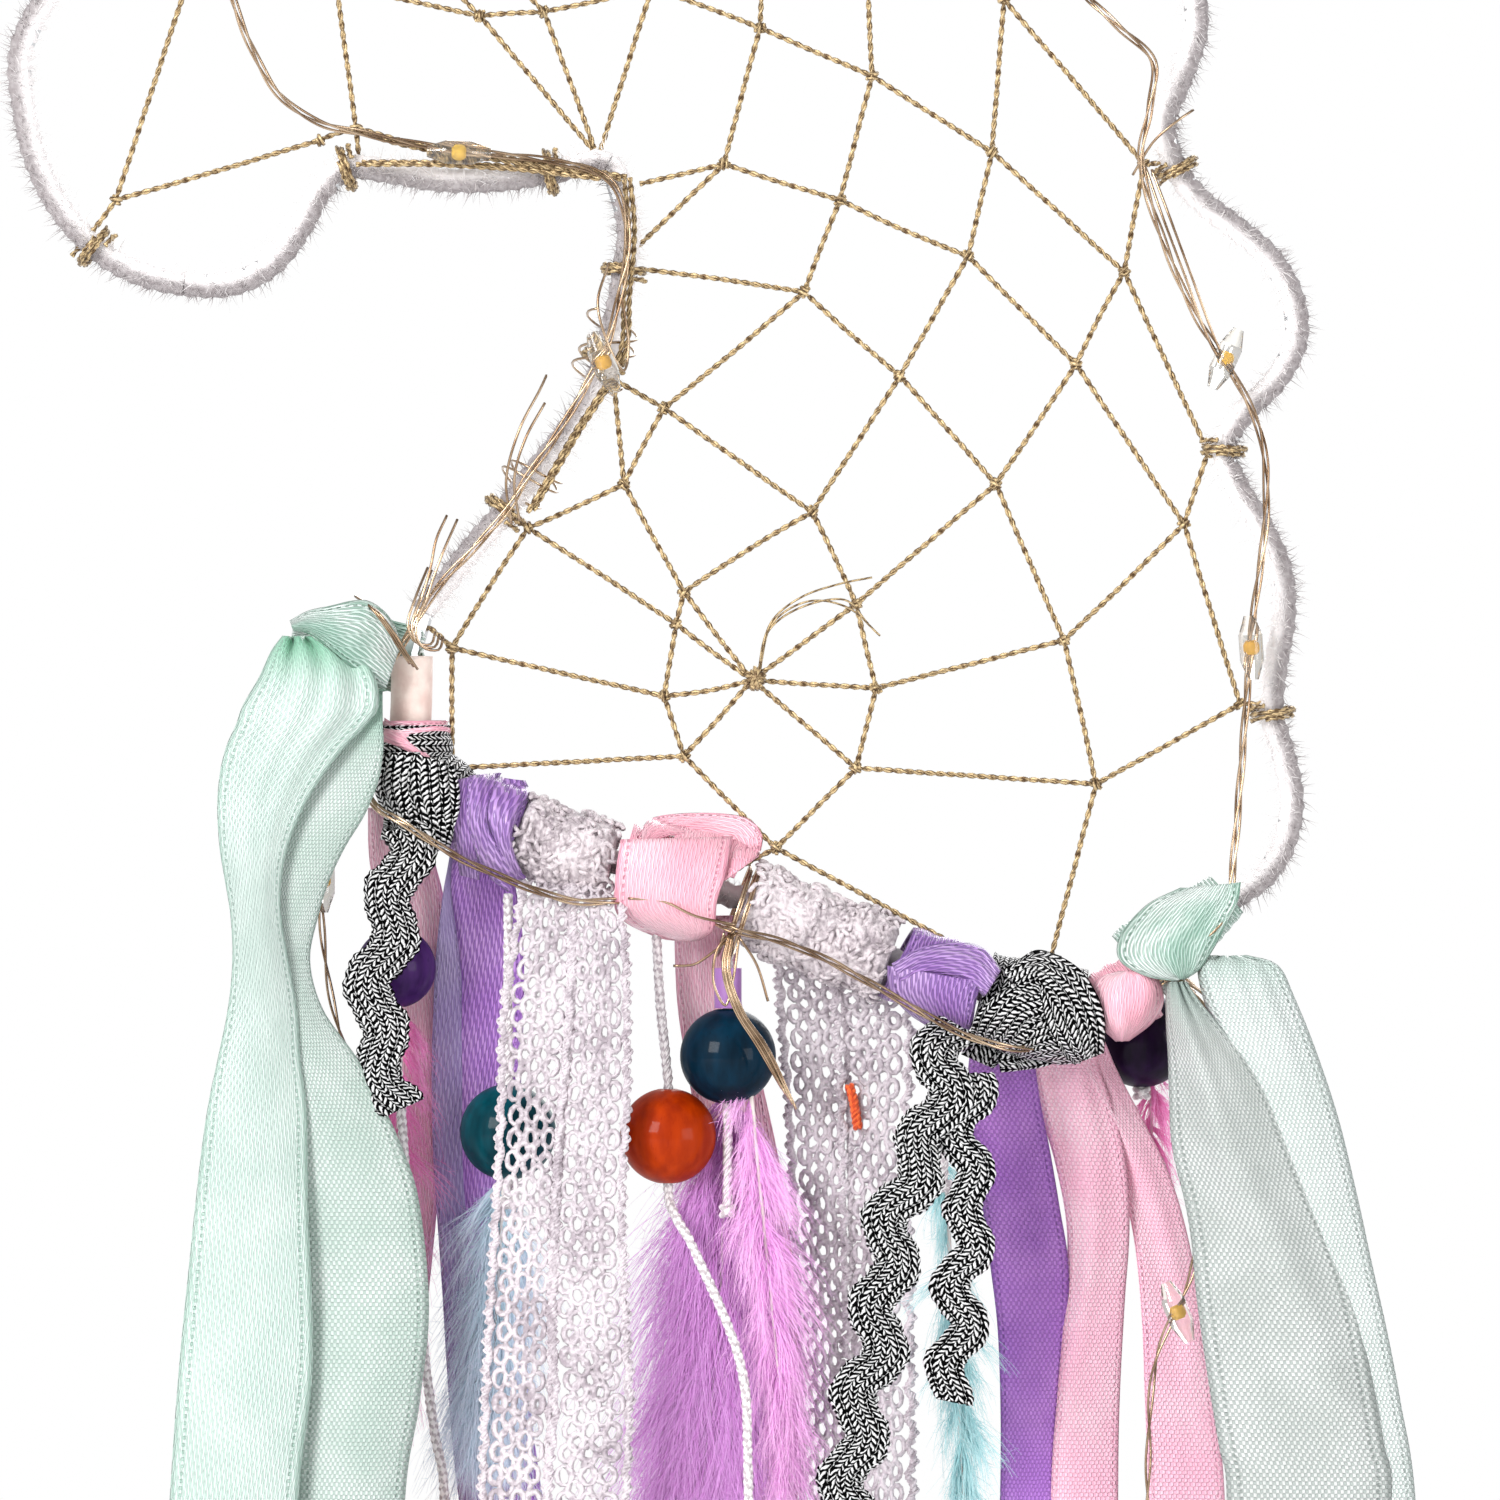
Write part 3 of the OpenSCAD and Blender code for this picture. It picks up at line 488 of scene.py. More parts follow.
# Colours are a display's codes. Satin takes its face, its gaps, its lighter patches and its weave, and for mint
# the painted shade that it deepens to by its knot
MINT = satin("mint_satin", 0xD2E0DA, 0x94BDAB, 0xE0EBE6, FLOATS, 0x7CCCA4, skew=1.6)
MINT_BACK = satin("mint_reverse", 0xC4D2CB, 0x86A496, 0xD7DFDB, BASKET, 0x96CAB1, 0.6)
MINT_PALE = satin("mint_pale", 0xE4EBE8, 0xA4B4AD, 0xF0F4F3, BASKET, 0xCAE1D7, 0.7)
# Painted shade: a greyer copy of the pale mint for the inner tail of the right knot
MINT_PALE_SHADED = satin("mint_pale_shaded", 0xCBCFCC, 0x8E9A95, 0xDBDEDC, BASKET, 0xBED6CB, 0.7)
# Painted shade: the knots' mint is a darker copy, with deeper gaps, for the shade in their folds
MINT_KNOT_SHADED = satin("mint_knot_shaded", 0xA8C6B9, 0x447C62, 0xECF3F0, (0.5, 6.0), depth=0.6, gloss=0.26, skew=2.0)
PINK = satin("pink_satin", 0xFFCADB, 0xF49EBE, 0xFFDCE6, FLOATS, skew=1.6)
PINK_BACK = satin("pink_reverse", 0xFFC8DC, 0xF6A0C0, 0xFFD9E6, BASKET)
PINK_KNOT = satin("pink_knot", 0xFFBACA, 0xEC88A8, 0xFFD2DC, (0.42, 6.0), depth=0.35, gloss=0.24, skew=2.0)
PURPLE = satin("purple_satin", 0xCC92EC, 0x824AB2, 0xDCACF4, (0.55, 3.0), depth=0.7, skew=1.6)
PURPLE_BACK = satin("purple_reverse", 0xB274D0, 0x783E9E, 0xC286DA, BASKET)
PURPLE_KNOT = satin("purple_knot", 0xA67AC2, 0x522A7C, 0xC8A6DC, (0.5, 4.0), depth=0.65, gloss=0.28, skew=2.0)
LAVENDER = satin("purple_float", 0xBEAAE0, 0x886CBA, 0xD0C0EC, FLOATS, skew=1.6)
GOLD = thread_paint("gold_twine", 0xD4BA8C, 0x5C4428, 0.5, 0.42, 2.1, 0.5, 0.16)
ORANGE_THREAD = thread_paint("orange_thread", 0xFC7032, 0xCE4618, turn=1.0)
CORD = thread_paint("white_cord", 0xF0ECEC, 0xBAB0B4, turn=1.1, share=0.4)
COPPER = wire_paint()
LACE = cotton_paint("white_lace", 0xDED5DA, 0xA69AA2, 1500.0)
LACE_WRAP = cotton_paint("lace_wrap", 0xE0D6D9, 0x9C9096, 1500.0)
RICKRACK = braid_paint("metallic_rickrack", 0xFCFCFC, 0x020203)
# The plush is white: its grey is painted shade along the outer side of the outline
FUR = plush_paint("white_plush", 0x8C8485, 0xF8F5F4)
CORE = plush_paint("plush_core", 0x908889, 0xF0ECEC, hair=False)
HORN = cotton_paint("horn_satin", 0xD0C6CE, 0xACA0AA)
BARE = cotton_paint("bare_frame", 0xFAE8DE, 0xE8CCC2, 300.0)
ROSE = pile_paint("rose_feather", 0xFA82C8, 0xFFAAE0)
BLUSH = pile_paint("blush_feather", 0xEC9EE6, 0xFCCAF4)
VIOLET = pile_paint("purple_feather", 0xCE7AD0, 0xE6ACEA)
AQUA = pile_paint("aqua_feather", 0x96D0D4, 0xC4E8EA)
SEA_BLUE = pile_paint("lilac_feather", 0xBADAE6, 0xDEE6F6)
QUILL = plastic("quill", 0xF4ECE6, 0xD6C8C4, 0.4, 900.0)
TEAL_WOOD = lacquer("teal_wood", 0x002C42, 0x001422)
SEA_WOOD = lacquer("sea_wood", 0x004E5A, 0x002C36)
ORANGE_WOOD = lacquer("orange_wood", 0xB63A00, 0x841E00)
AMBER_WOOD = lacquer("amber_wood", 0xEC8032, 0xBE5418)
PLUM_WOOD = lacquer("plum_wood", 0x4A2668, 0x220E38)
GRAPE_WOOD = lacquer("grape_wood", 0x2E123E, 0x10061A)
TUBE = plastic("tube_plastic", 0xB080BE, 0x8C5C9E, 0.35, 1500.0)
CASE = plastic("case_plastic", 0xDAD9D4, 0xCAC9C4, 0.3, 2500.0)
SWITCH = plastic("switch_plastic", 0x1E1E21, 0x121214, 0.45, 2000.0)
COIN = metal("coin_steel", (0.72, 0.73, 0.74, 1), (0.5, 0.51, 0.52, 1), 0.28)
BRASS = metal("contact_brass", (0.8, 0.66, 0.38, 1), (0.6, 0.46, 0.22, 1), 0.3)
EPOXY = epoxy()
CHIP = plastic("led_chip", 0xFACE3C, 0xECAA1E, 0.5, 3000.0)

# --- Camera, lights and floor ---------------------------------------------------------------------------------


def row(point):
    """A point of the plan in the row frame, in metres."""
    return tuple((np.array(point, float) + WEB_CENTRE) * MM)


def make_camera():
    distance, seen_width = 1500.0, 187.5
    data = bpy.data.cameras.new("camera")
    data.sensor_width = 36.0
    data.lens = data.sensor_width * distance / seen_width
    camera = bpy.data.objects.new("camera", data)
    camera.location = row([-0.25, -distance, -8.75])
    camera.rotation_euler = (math.pi / 2, 0, 0)
    bpy.context.scene.collection.objects.link(camera)
    bpy.context.scene.camera = camera


def softbox(name, place, aim, size, power):
    """A square light, size in metres and power in watts."""
    light = bpy.data.lights.new(name, "AREA")
    light.size, light.energy = size, power
    box = bpy.data.objects.new(name, light)
    box.location = row(place)
    towards = np.array(row(aim)) - np.array(row(place))
    box.rotation_euler = Vector(towards).to_track_quat("-Z", "Y").to_euler()
    bpy.context.scene.collection.objects.link(box)


def make_light():
    world = bpy.data.worlds.new("studio")
    bpy.context.scene.world = world
    world.use_nodes = True
    tree = world.node_tree
    # The background that is seen is plain white, and the light it gives is softer
    soft, path = tree.nodes["Background"], tree.nodes.new("ShaderNodeLightPath")
    plain = tree.nodes.new("ShaderNodeBackground")
    mix = tree.nodes.new("ShaderNodeMixShader")
    soft.inputs[0].default_value, soft.inputs[1].default_value = (0.98, 0.98, 1.0, 1), 0.58
    plain.inputs[0].default_value, plain.inputs[1].default_value = (1, 1, 1, 1), 1.0
    tree.links.new(path.outputs["Is Camera Ray"], mix.inputs[0])
    tree.links.new(soft.outputs[0], mix.inputs[1])
    tree.links.new(plain.outputs[0], mix.inputs[2])
    tree.links.new(mix.outputs[0], tree.nodes["World Output"].inputs[0])
    bpy.context.scene.view_settings.view_transform = "Standard"
    softbox("key", [-1400, -1900, 900], [0, 0, -20], 1.1, 60.0)
    softbox("fill", [1700, -1500, 100], [0, 0, -40], 1.1, 19.0)
    softbox("back", [500, 1900, 800], [0, 0, 0], 1.4, 26.0)


def make_floor():
    bpy.ops.mesh.primitive_plane_add(size=5.0, location=(0, 0, cad_low.z - 0.03))
    floor = bpy.context.object
    floor.name = "floor"
    floor.data.materials.append(floor_paint())


make_camera()
make_light()
make_floor()

# --- Cords ----------------------------------------------------------------------------------------------------

STRING_D, WIRE_D, WIRE_PAIR_D = 1.3, 0.34, 0.8
SHORTEST_CORD = 30  # mm: a shorter string is a stem

# From the top down. The aqua and grape strings are stems
PLUM_ROUTE = [[-44, 0, -20.3], [-44.5, 0, -29], [-44.5, 0, -43], [-44, 0, -52], [-42.5, 0, -70], [-40, 0, -92],
    [-38.5, 0, -101], [-38.5, 0, -116.5]]
SEA_ROUTE = [[-30.5, 0, -26.8], [-30.5, 0, -49], [-30.5, 0, -66]]
ORANGE_ROUTE = [[-12, 0, -30.8], [-11.5, 0, -40], [-10.7, 0, -48], [-10.5, 0, -51], [-10.5, 0, -63.5],
    [-9.5, -2, -67], [-7, -4.6, -71.5], [-1.5, -4.6, -85], [-0.5, -4.6, -98], [-0.5, -4.6, -122]]
TEAL_ROUTE = [[-3, 0, -33.3], [-3, 0, -44], [-3, 0, -67]]
AQUA_ROUTE = [[24, 2, -43.8], [24, 2, -64]]
GRAPE_ROUTE = [[49, 9.4, -39.2], [49, 9.4, -52.5]]
LIGHT_END_LEFT = [[-51, -5.7, -6], [-53.5, -4.6, -18], [-53.5, -4.4, -32], [-51, -5.4, -45], [-45, -5.7, -58],
    [-41.5, -5.7, -70], [-41.5, -5.7, -80], [-43.5, -5.7, -92], [-46, -5.7, -104]]
LIGHT_END_RIGHT = [[55, 0, -39], [56, 0, -50], [56.5, 0, -62], [55, 0, -74], [50.5, 0, -85], [49.5, 0, -98],
    [49.5, 0, -112]]


def string(colour, kind, route):
    """A cotton string of three strands, with a knot at its end."""
    line = smooth(route, 0.8)
    shape = Shape().add_all(strands(line, 3, STRING_D * 0.29, STRING_D * 0.24, 3.6, 6))
    turns = np.linspace(0, TAU, 25)
    for lean in (-0.5, 0.5):
        loop = np.stack([np.cos(turns) * 0.75, np.sin(turns) * 0.75, lean * np.cos(turns) + 0.6], -1)
        shape.add(tube(line[-1] + loop, 0.45))
    made = shape.piece(f"{kind}_{colour}", colour + "_string", CORD, "white_cord", "string_" + colour)
    length = lengths(line)[-1]
    if length >= SHORTEST_CORD:
        path = [row(p) for p in line]
        row(route[0])


def light_end(name, route):
    """A loose pair of enamelled wires, twisted together."""
    line = smooth(route)
    shape = Shape().add_all(strands(line, 2, WIRE_D / 2, 0.3, 17.0))
    made = shape.piece(name, "frame", COPPER, "copper_wire", "light_ends")
    path = [row(p) for p in line]
    row(route[0])
    lengths(line)[-1] * MM


string("plum", "cord", PLUM_ROUTE)
string("sea", "cord", SEA_ROUTE)
string("orange", "cord", ORANGE_ROUTE)
string("teal", "cord", TEAL_ROUTE)
string("aqua", "stem", AQUA_ROUTE)
string("grape", "stem", GRAPE_ROUTE)
light_end("light_end_left", LIGHT_END_LEFT)
light_end("light_end_right", LIGHT_END_RIGHT)

# --- The plush frame ------------------------------------------------------------------------------------------

JAW = [[-18, 64.5], [-25, 63.5], [-32, 62.5], [-39, 62.5], [-45, 63.5], [-50.5, 64], [-54, 61], [-56.5, 56.5]]
MUZZLE = [[-60, 52], [-65, 49.5], [-71, 49.5], [-77, 51], [-82, 54], [-86.5, 59], [-89.5, 65], [-91, 71.5],
    [-91.5, 78], [-89, 84], [-84, 90], [-78, 95.5], [-71, 100.5], [-64, 105.5], [-57.5, 111]]
BROW = [[-51.5, 117], [-47.5, 121], [-43.5, 125], [-37.5, 130.5], [-31.5, 135.5]]
EAR = [[-26, 139.5], [-25.5, 147.5], [-22.5, 156], [-17.5, 164.5], [-11.5, 164.5], [-9, 157], [-7.5, 149.5]]
CREST = [[-3.5, 144.5], [0.5, 147], [11.5, 147], [17.5, 145.5], [23, 142], [27, 137], [29, 132.5], [35, 133],
    [40.5, 130.5], [44, 125.5], [44.5, 119.5], [44.5, 114.5], [49.5, 113.5], [53, 109.5], [53.5, 104], [51.5, 99],
    [50, 94.5], [52.5, 90.5]]
MANE = [[55, 86.5], [55.5, 81], [53.5, 75], [51.5, 69.5], [53, 64], [56, 60], [60.5, 56.5], [64.5, 53], [67.5, 48],
    [68, 42.5], [65.5, 37.5], [61.5, 33.5], [59, 29], [60.5, 24.5], [63.5, 19.5], [66, 14], [66.5, 8], [65.5, 2],
    [65, -4], [66.5, -9.5], [67.5, -15], [66.5, -20.5], [64, -24.5]]
BAR = [[60.5, -27], [59, -28], [53, -33.5], [49.5, -37.5], [43.5, -41], [37, -41], [31, -39.5], [25, -37.5],
    [19, -35.5], [12, -33], [5.5, -30.5], [-1, -27.5], [-2.5, -27], [-9, -25], [-16, -23], [-22, -21.5], [-28, -19.5],
    [-32.5, -18], [-37, -16], [-40.5, -13.5], [-42.5, -9.5]]
NECK = [[-42.5, -3.5], [-42.5, 3.5], [-41, 8.5], [-38, 12.5], [-34.5, 17], [-31, 21], [-27.5, 25.5], [-23.5, 30.5],
    [-20.5, 35], [-18.5, 40], [-17, 45.5], [-16, 51], [-15.5, 57]]
RUNS = [JAW, MUZZLE, BROW, EAR, CREST, MANE, BAR, NECK]
OUTLINE = stand([p for run in RUNS for p in run])


def blades(spine, half, t, spread, long=1.0):
    """Flat blades along rows of spine points, each half wide to either side. spread is one value for each."""
    n, levels, _ = spine.shape
    points = np.stack([spine - half, spine + half], 2).reshape(-1, 3)
    faces = (quads(levels, 2)[None] + (np.arange(n) * levels * 2)[:, None, None]).reshape(-1, 4)
    share = np.broadcast_to(t, (n, levels, 1))[..., None] * np.ones((1, 1, 2, 1))
    spread = np.broadcast_to(spread[:, None, None, None], (n, levels, 2, 1))
    return points, [faces], np.concatenate([share * long, spread, share], -1).reshape(-1, 3)


def hairs(roots, ways, long, width, rng, bend, spread=None):
    """Thin tapered hairs from the roots, which bend a little as they go."""
    n = len(roots)
    side = unit(np.cross(ways, rng.normal(size=(n, 3))))
    droop = unit(rng.normal(size=(n, 3))) * bend
    t = np.linspace(0, 1, 3)[None, :, None]
    spine = roots[:, None] + ways[:, None] * long[:, None, None] * t + (droop * long[:, None])[:, None] * t**2
    half = side[:, None] * (width / 2) * (1 - 0.85 * t)
    return blades(spine, half, t, rng.random(n) if spread is None else spread, long.mean())


def plush(name, first, last, seed, density=34, pile=1.9):
    """A wound plush trim over a run of the outline, with density hairs on each mm, of pile mm."""
    rng = np.random.default_rng(seed)
    run = [OUTLINE[i % len(OUTLINE)] for i in range(first - 1, last + 2)]
    line = smooth(run, 0.7)
    near = [int(np.linalg.norm(line - run[k], axis=1).argmin()) for k in (1, -2)]
    line = line[near[0] : near[1] + 1]
    s = lengths(line)
    sides, core, coil_pitch = 14, 1.5, 1.9
    wound = core + 0.14 * np.sin(TAU * s[:, None] / coil_pitch + ring_of(sides))
    shape = Shape().add(tube(line, wound, sides), 1)
    _, a, b = carried(line)
    count = int(s[-1] * density)
    at = rng.random(count) * (len(line) - 1.001)
    i, f = at.astype(int), (at % 1)[:, None]
    angle = rng.random(count)[:, None] * TAU
    angle = angle + 0.35 * np.sin(2 * angle)
    out = np.cos(angle) * (a[i] * (1 - f) + a[i + 1] * f) + np.sin(angle) * (b[i] * (1 - f) + b[i + 1] * f)
    roots = line[i] * (1 - f) + line[i + 1] * f + out * 1.3
    clump = np.sin(at * 0.55 + 3 * np.sin(angle[:, 0]))[:, None]
    along = unit(np.gradient(line, axis=0))[i]
    ways = unit(out + along * (0.25 + 0.35 * clump) + rng.normal(scale=0.28, size=(count, 3)))
    long = pile * (0.6 + 0.5 * rng.random(count)) * (1 + 0.15 * clump[:, 0])
    # Each hair holds how near it stands to the outer side of the outline, for the plush's painted shade
    shape.add(hairs(roots, ways, long, 0.15, rng, 0.28, spread=0.5 + 0.5 * np.cos(angle[:, 0])))
    shape.piece(f"plush_{name}_pile", "frame", [FUR, CORE], "white_plush", "plush_" + name)


# The outline's point that each run starts at
AT_MUZZLE, AT_BROW, AT_EAR, AT_CREST, AT_MANE, AT_BAR, AT_NECK, AT_END = np.cumsum([len(run) for run in RUNS]).tolist()
plush("jaw", 0, AT_MUZZLE + 2, 11)
plush("nose", AT_MUZZLE + 2, AT_BROW, 12)
plush("brow", AT_BROW, AT_EAR, 13)
plush("ear", AT_EAR, AT_CREST, 14)
plush("crest", AT_CREST, AT_MANE, 15)
plush("mane", AT_MANE, AT_BAR, 16)
plush("neck", AT_NECK + 2, AT_END, 17)

# --- The twine web --------------------------------------------------------------------------------------------

# Each course of twine as [across, up] points, knotted where it bends
WEB_COURSES = [
    [[-85, 53], [-79.5, 60], [-65, 104]],
    [[-79.5, 60], [-54, 67.5], [-49.5, 69], [-52, 87], [-54, 113]],
    [[-49.5, 69], [-49, 64]],
    [[-52, 87], [-34, 83], [-26, 83.5], [-12.5, 86.5], [1, 81.5], [15, 75.5], [30, 66], [46.5, 51], [57, 28.5]],
    [[-40, 98], [-53, 103], [-34, 83], [-18, 64]],
    [[-40, 98], [-26, 83.5], [-19.5, 66]],
    [[-9, 98], [-12.5, 86.5], [-19, 66]],
    [[-24, 102], [-12.5, 86.5]],
    [[2, 101], [1, 81.5], [-3.5, 64.5], [-15.5, 53]],
    [[14, 96], [15, 75.5], [11, 60], [6.5, 48.5], [-11, 34], [-16, 24.5], [-28, 19], [-31, 21]],
    [[-14, 62], [-3.5, 64.5], [11, 60], [27, 53], [40.5, 39.5], [54, 19.5], [61, -3], [65, -3]],
    [[32, 102], [31.5, 85], [30, 66], [27, 53], [18.5, 38], [7.5, 21], [-8.5, 11], [-9.5, 7], [-11, -2],
        [-8.5, -9.5], [3, -21], [31.5, -36.5]],
    [[31.5, 85], [49, 64.5], [46.5, 51], [40.5, 39.5], [30.5, 24.5], [13, 9.5], [0, 0]],
    [[49, 64.5], [53, 65]],
    [[-15, 51.5], [6.5, 48.5], [18.5, 38], [30.5, 24.5], [39, 5], [43, -13], [37, -36]],
    [[-18, 38], [-11, 34], [7.5, 21], [13, 9.5], [15.5, -1], [13, -11], [3, -21], [-4, -25]],
    [[-17.5, 40], [-16, 24.5], [-8.5, 11], [0, 0]],
    [[-28, 19], [-9.5, 7], [0, 0]],
    [[-28, 19], [-37.5, 4], [-37.5, -11], [-8.5, -9.5], [0, 0]],
    [[-41, 7], [-37.5, 4], [-11, -2], [0, 0]],
    [[54, 19.5], [39, 5], [15.5, -1], [0, 0]],
    [[61, -3], [43, -13], [13, -11], [0, 0]],
    [[60, 27], [57, 28.5], [54, 19.5]],
    [[-35, 133], [-31, 119], [-24, 141], [-16, 123], [-7, 147], [-2, 125], [2, 147], [11, 124], [19, 144],
        [23, 117], [29, 132], [35, 113], [44, 122], [42, 104], [53, 105]],
    [[-51, 118], [-40, 98], [-31, 119], [-24, 102], [-16, 123], [-9, 98], [-2, 125], [2, 101], [11, 124],
        [14, 96], [23, 117], [32, 102], [42, 104], [50, 96]],
]
# Pairs of twines that run along the frame, and the outline's points with a hitch round them
ALONG_FRAME = [[[-15.6, 62.5], [-15, 56], [-15.6, 48], [-16.4, 40], [-22, 30.6], [-27.6, 21]], [[-49.4, 68.6],
    [-41, 66.4], [-30, 64.8], [-22, 63.6], [-16, 62.6]], [[-49, 64.4], [-40, 64.4], [-29, 63.8], [-18.5, 62.6]]]
HITCHES = [AT_MUZZLE + 4, AT_MUZZLE + 13, 5, 1, AT_BROW, AT_BROW + 4, AT_EAR, AT_CREST + 4, AT_CREST + 5,
    AT_CREST + 9, AT_CREST + 14, AT_MANE + 4, AT_MANE + 12, AT_MANE + 18, AT_NECK + 5, AT_NECK + 9, AT_NECK + 11]


def coil(centre, along, radius, turns, pitch, start=0.0):
    """Points of a coil round an axis."""
    along = unit(np.array(along, float))
    a = np.array([0.0, -1.0, 0.0])
    b = unit(np.cross(along, a))
    t = np.linspace(0, turns, int(turns * 22) + 1)[:, None]
    angle = TAU * t + start
    return np.array(centre, float) + along * (t - turns / 2) * pitch + radius * (np.cos(angle) * a + np.sin(angle) * b)


def twine(line, pitch=2.6):
    return strands(line, 2, 0.215, 0.18, pitch)


def make_web():
    rng = np.random.default_rng(5)
    shape = Shape()
    for number, course in enumerate(WEB_COURSES):
        points = stand(course, 0.22 * (number % 3 - 1))
        for a, b in zip(points[:-1], points[1:]):
            count = max(4, int(np.linalg.norm(b - a) / 0.42))
            t = np.linspace(0, 1, count)[:, None]
            slack = np.array([0.0, rng.normal() * 0.15, rng.normal() * 0.15])
            line = a + (b - a) * t + slack * np.sin(math.pi * t)
            shape.add_all(twine(line))
        for k in range(1, len(points) - 1):
            heading = points[k + 1] - points[k - 1]
            shape.add(tube(coil(points[k], heading, 0.62, 1.6, 0.5, rng.random() * 6), 0.26, 5))
    for course in ALONG_FRAME:
        for side in (-0.35, 0.35):
            shape.add_all(twine(smooth(stand(np.array(course) + [side, 0.4 * side], -3.4 + 0.5 * side), 0.42)))
    for station in HITCHES:
        heading = OUTLINE[(station + 1) % len(OUTLINE)] - OUTLINE[station - 1]
        shape.add_all(twine(coil(OUTLINE[station], heading, 2.5, 2.0, 0.85, 0.4), 2.0))
        shape.add_all(twine(coil(OUTLINE[station], heading + [0.6, 0, 0.4], 2.8, 1.0, 1.5, 1.4), 2.0))
    # The knot at the centre, and its loose ends
    for k in range(9):
        lean = unit(np.array([math.cos(k * 0.9), 0.25 * math.sin(2.1 * k), math.sin(k * 0.9)]))
        shape.add(tube(coil([0.4, -0.5, 0.2], lean, 1.0 + 0.12 * (k % 4), 1.3, 0.5, k), 0.3, 5))
    ends = [[[0.8, -1, 1], [1.5, -2, 5], [3, -2, 8], [6.5, -2.5, 10.5], [11, -2, 12], [15, -2, 12.8]],
        [[1, -1, 1.5], [2.5, -2, 7], [7, -2.5, 9.8], [12, -2, 9], [16, -2, 5.5]],
        [[1, -1, 1], [2, -1.8, 6], [6, -2, 9], [11.5, -2.6, 10], [14.5, -2.4, 7]]]
    for end in ends:
        shape.add(tube(smooth(end, 0.6), 0.13, 4))
    shape.piece("web", "frame", GOLD, "gold_twine", "web_twine")


make_web()

# --- Lights ---------------------------------------------------------------------------------------------------

LIGHT_ROUTE = [[40, 9, 91.9], [40.5, 6, 89], [41, 1.5, 87], [42, -3, 85], [45.5, -5, 81.5], [50, -5, 77],
    [49.5, -5, 71], [48.5, -5, 64], [51.5, -5, 54], [55.5, -5, 45], [60, -5, 38], [63.5, -5, 30], [64, -5, 20],
    [62.5, -5, 8], [61.5, -5, -4], [60.8, -5, -13], [60, -6, -22], [59, -7, -29], [56, -7, -33], [52, -5, -36.8],
    [47, -3.6, -40.5], [42, -3, -44], [36, -4, -45.8], [31, -7.4, -45.6], [25, -8.4, -43.5], [18, -8, -39.6],
    [10, -7.4, -35.2], [4, -7.2, -32.7], [-2, -7.4, -31.2], [-4.6, -5.4, -30.2], [-7, -3.2, -29], [-14, -3.2, -27.4],
    [-17.4, -6.2, -27.6], [-23, -7.4, -27.4], [-30, -8.2, -25], [-37, -9.4, -21.8], [-43, -10, -18],
    [-47, -7.4, -15.5], [-49, -5, -10], [-48.4, -4.4, -3], [-43.5, -5, 4.5], [-39.5, -5, 11], [-35, -5, 16],
    [-31, -5, 20.5], [-27.5, -5, 26], [-24, -5, 31], [-20.5, -5, 37], [-18, -5, 42], [-16.5, -5, 48], [-15.5, -5, 54],
    [-16.5, -5, 60.5], [-20, -4.6, 63.5], [-26, -4.6, 64.8], [-33, -4.6, 65.6], [-41, -4.6, 66.6], [-48, -4.4, 68],
    [-54, -4, 69.5], [-59, -3.6, 73], [-62.5, -3.4, 79], [-65, -3.4, 86], [-66, -3.6, 93], [-64, -4, 99],
    [-61, -5, 104]]


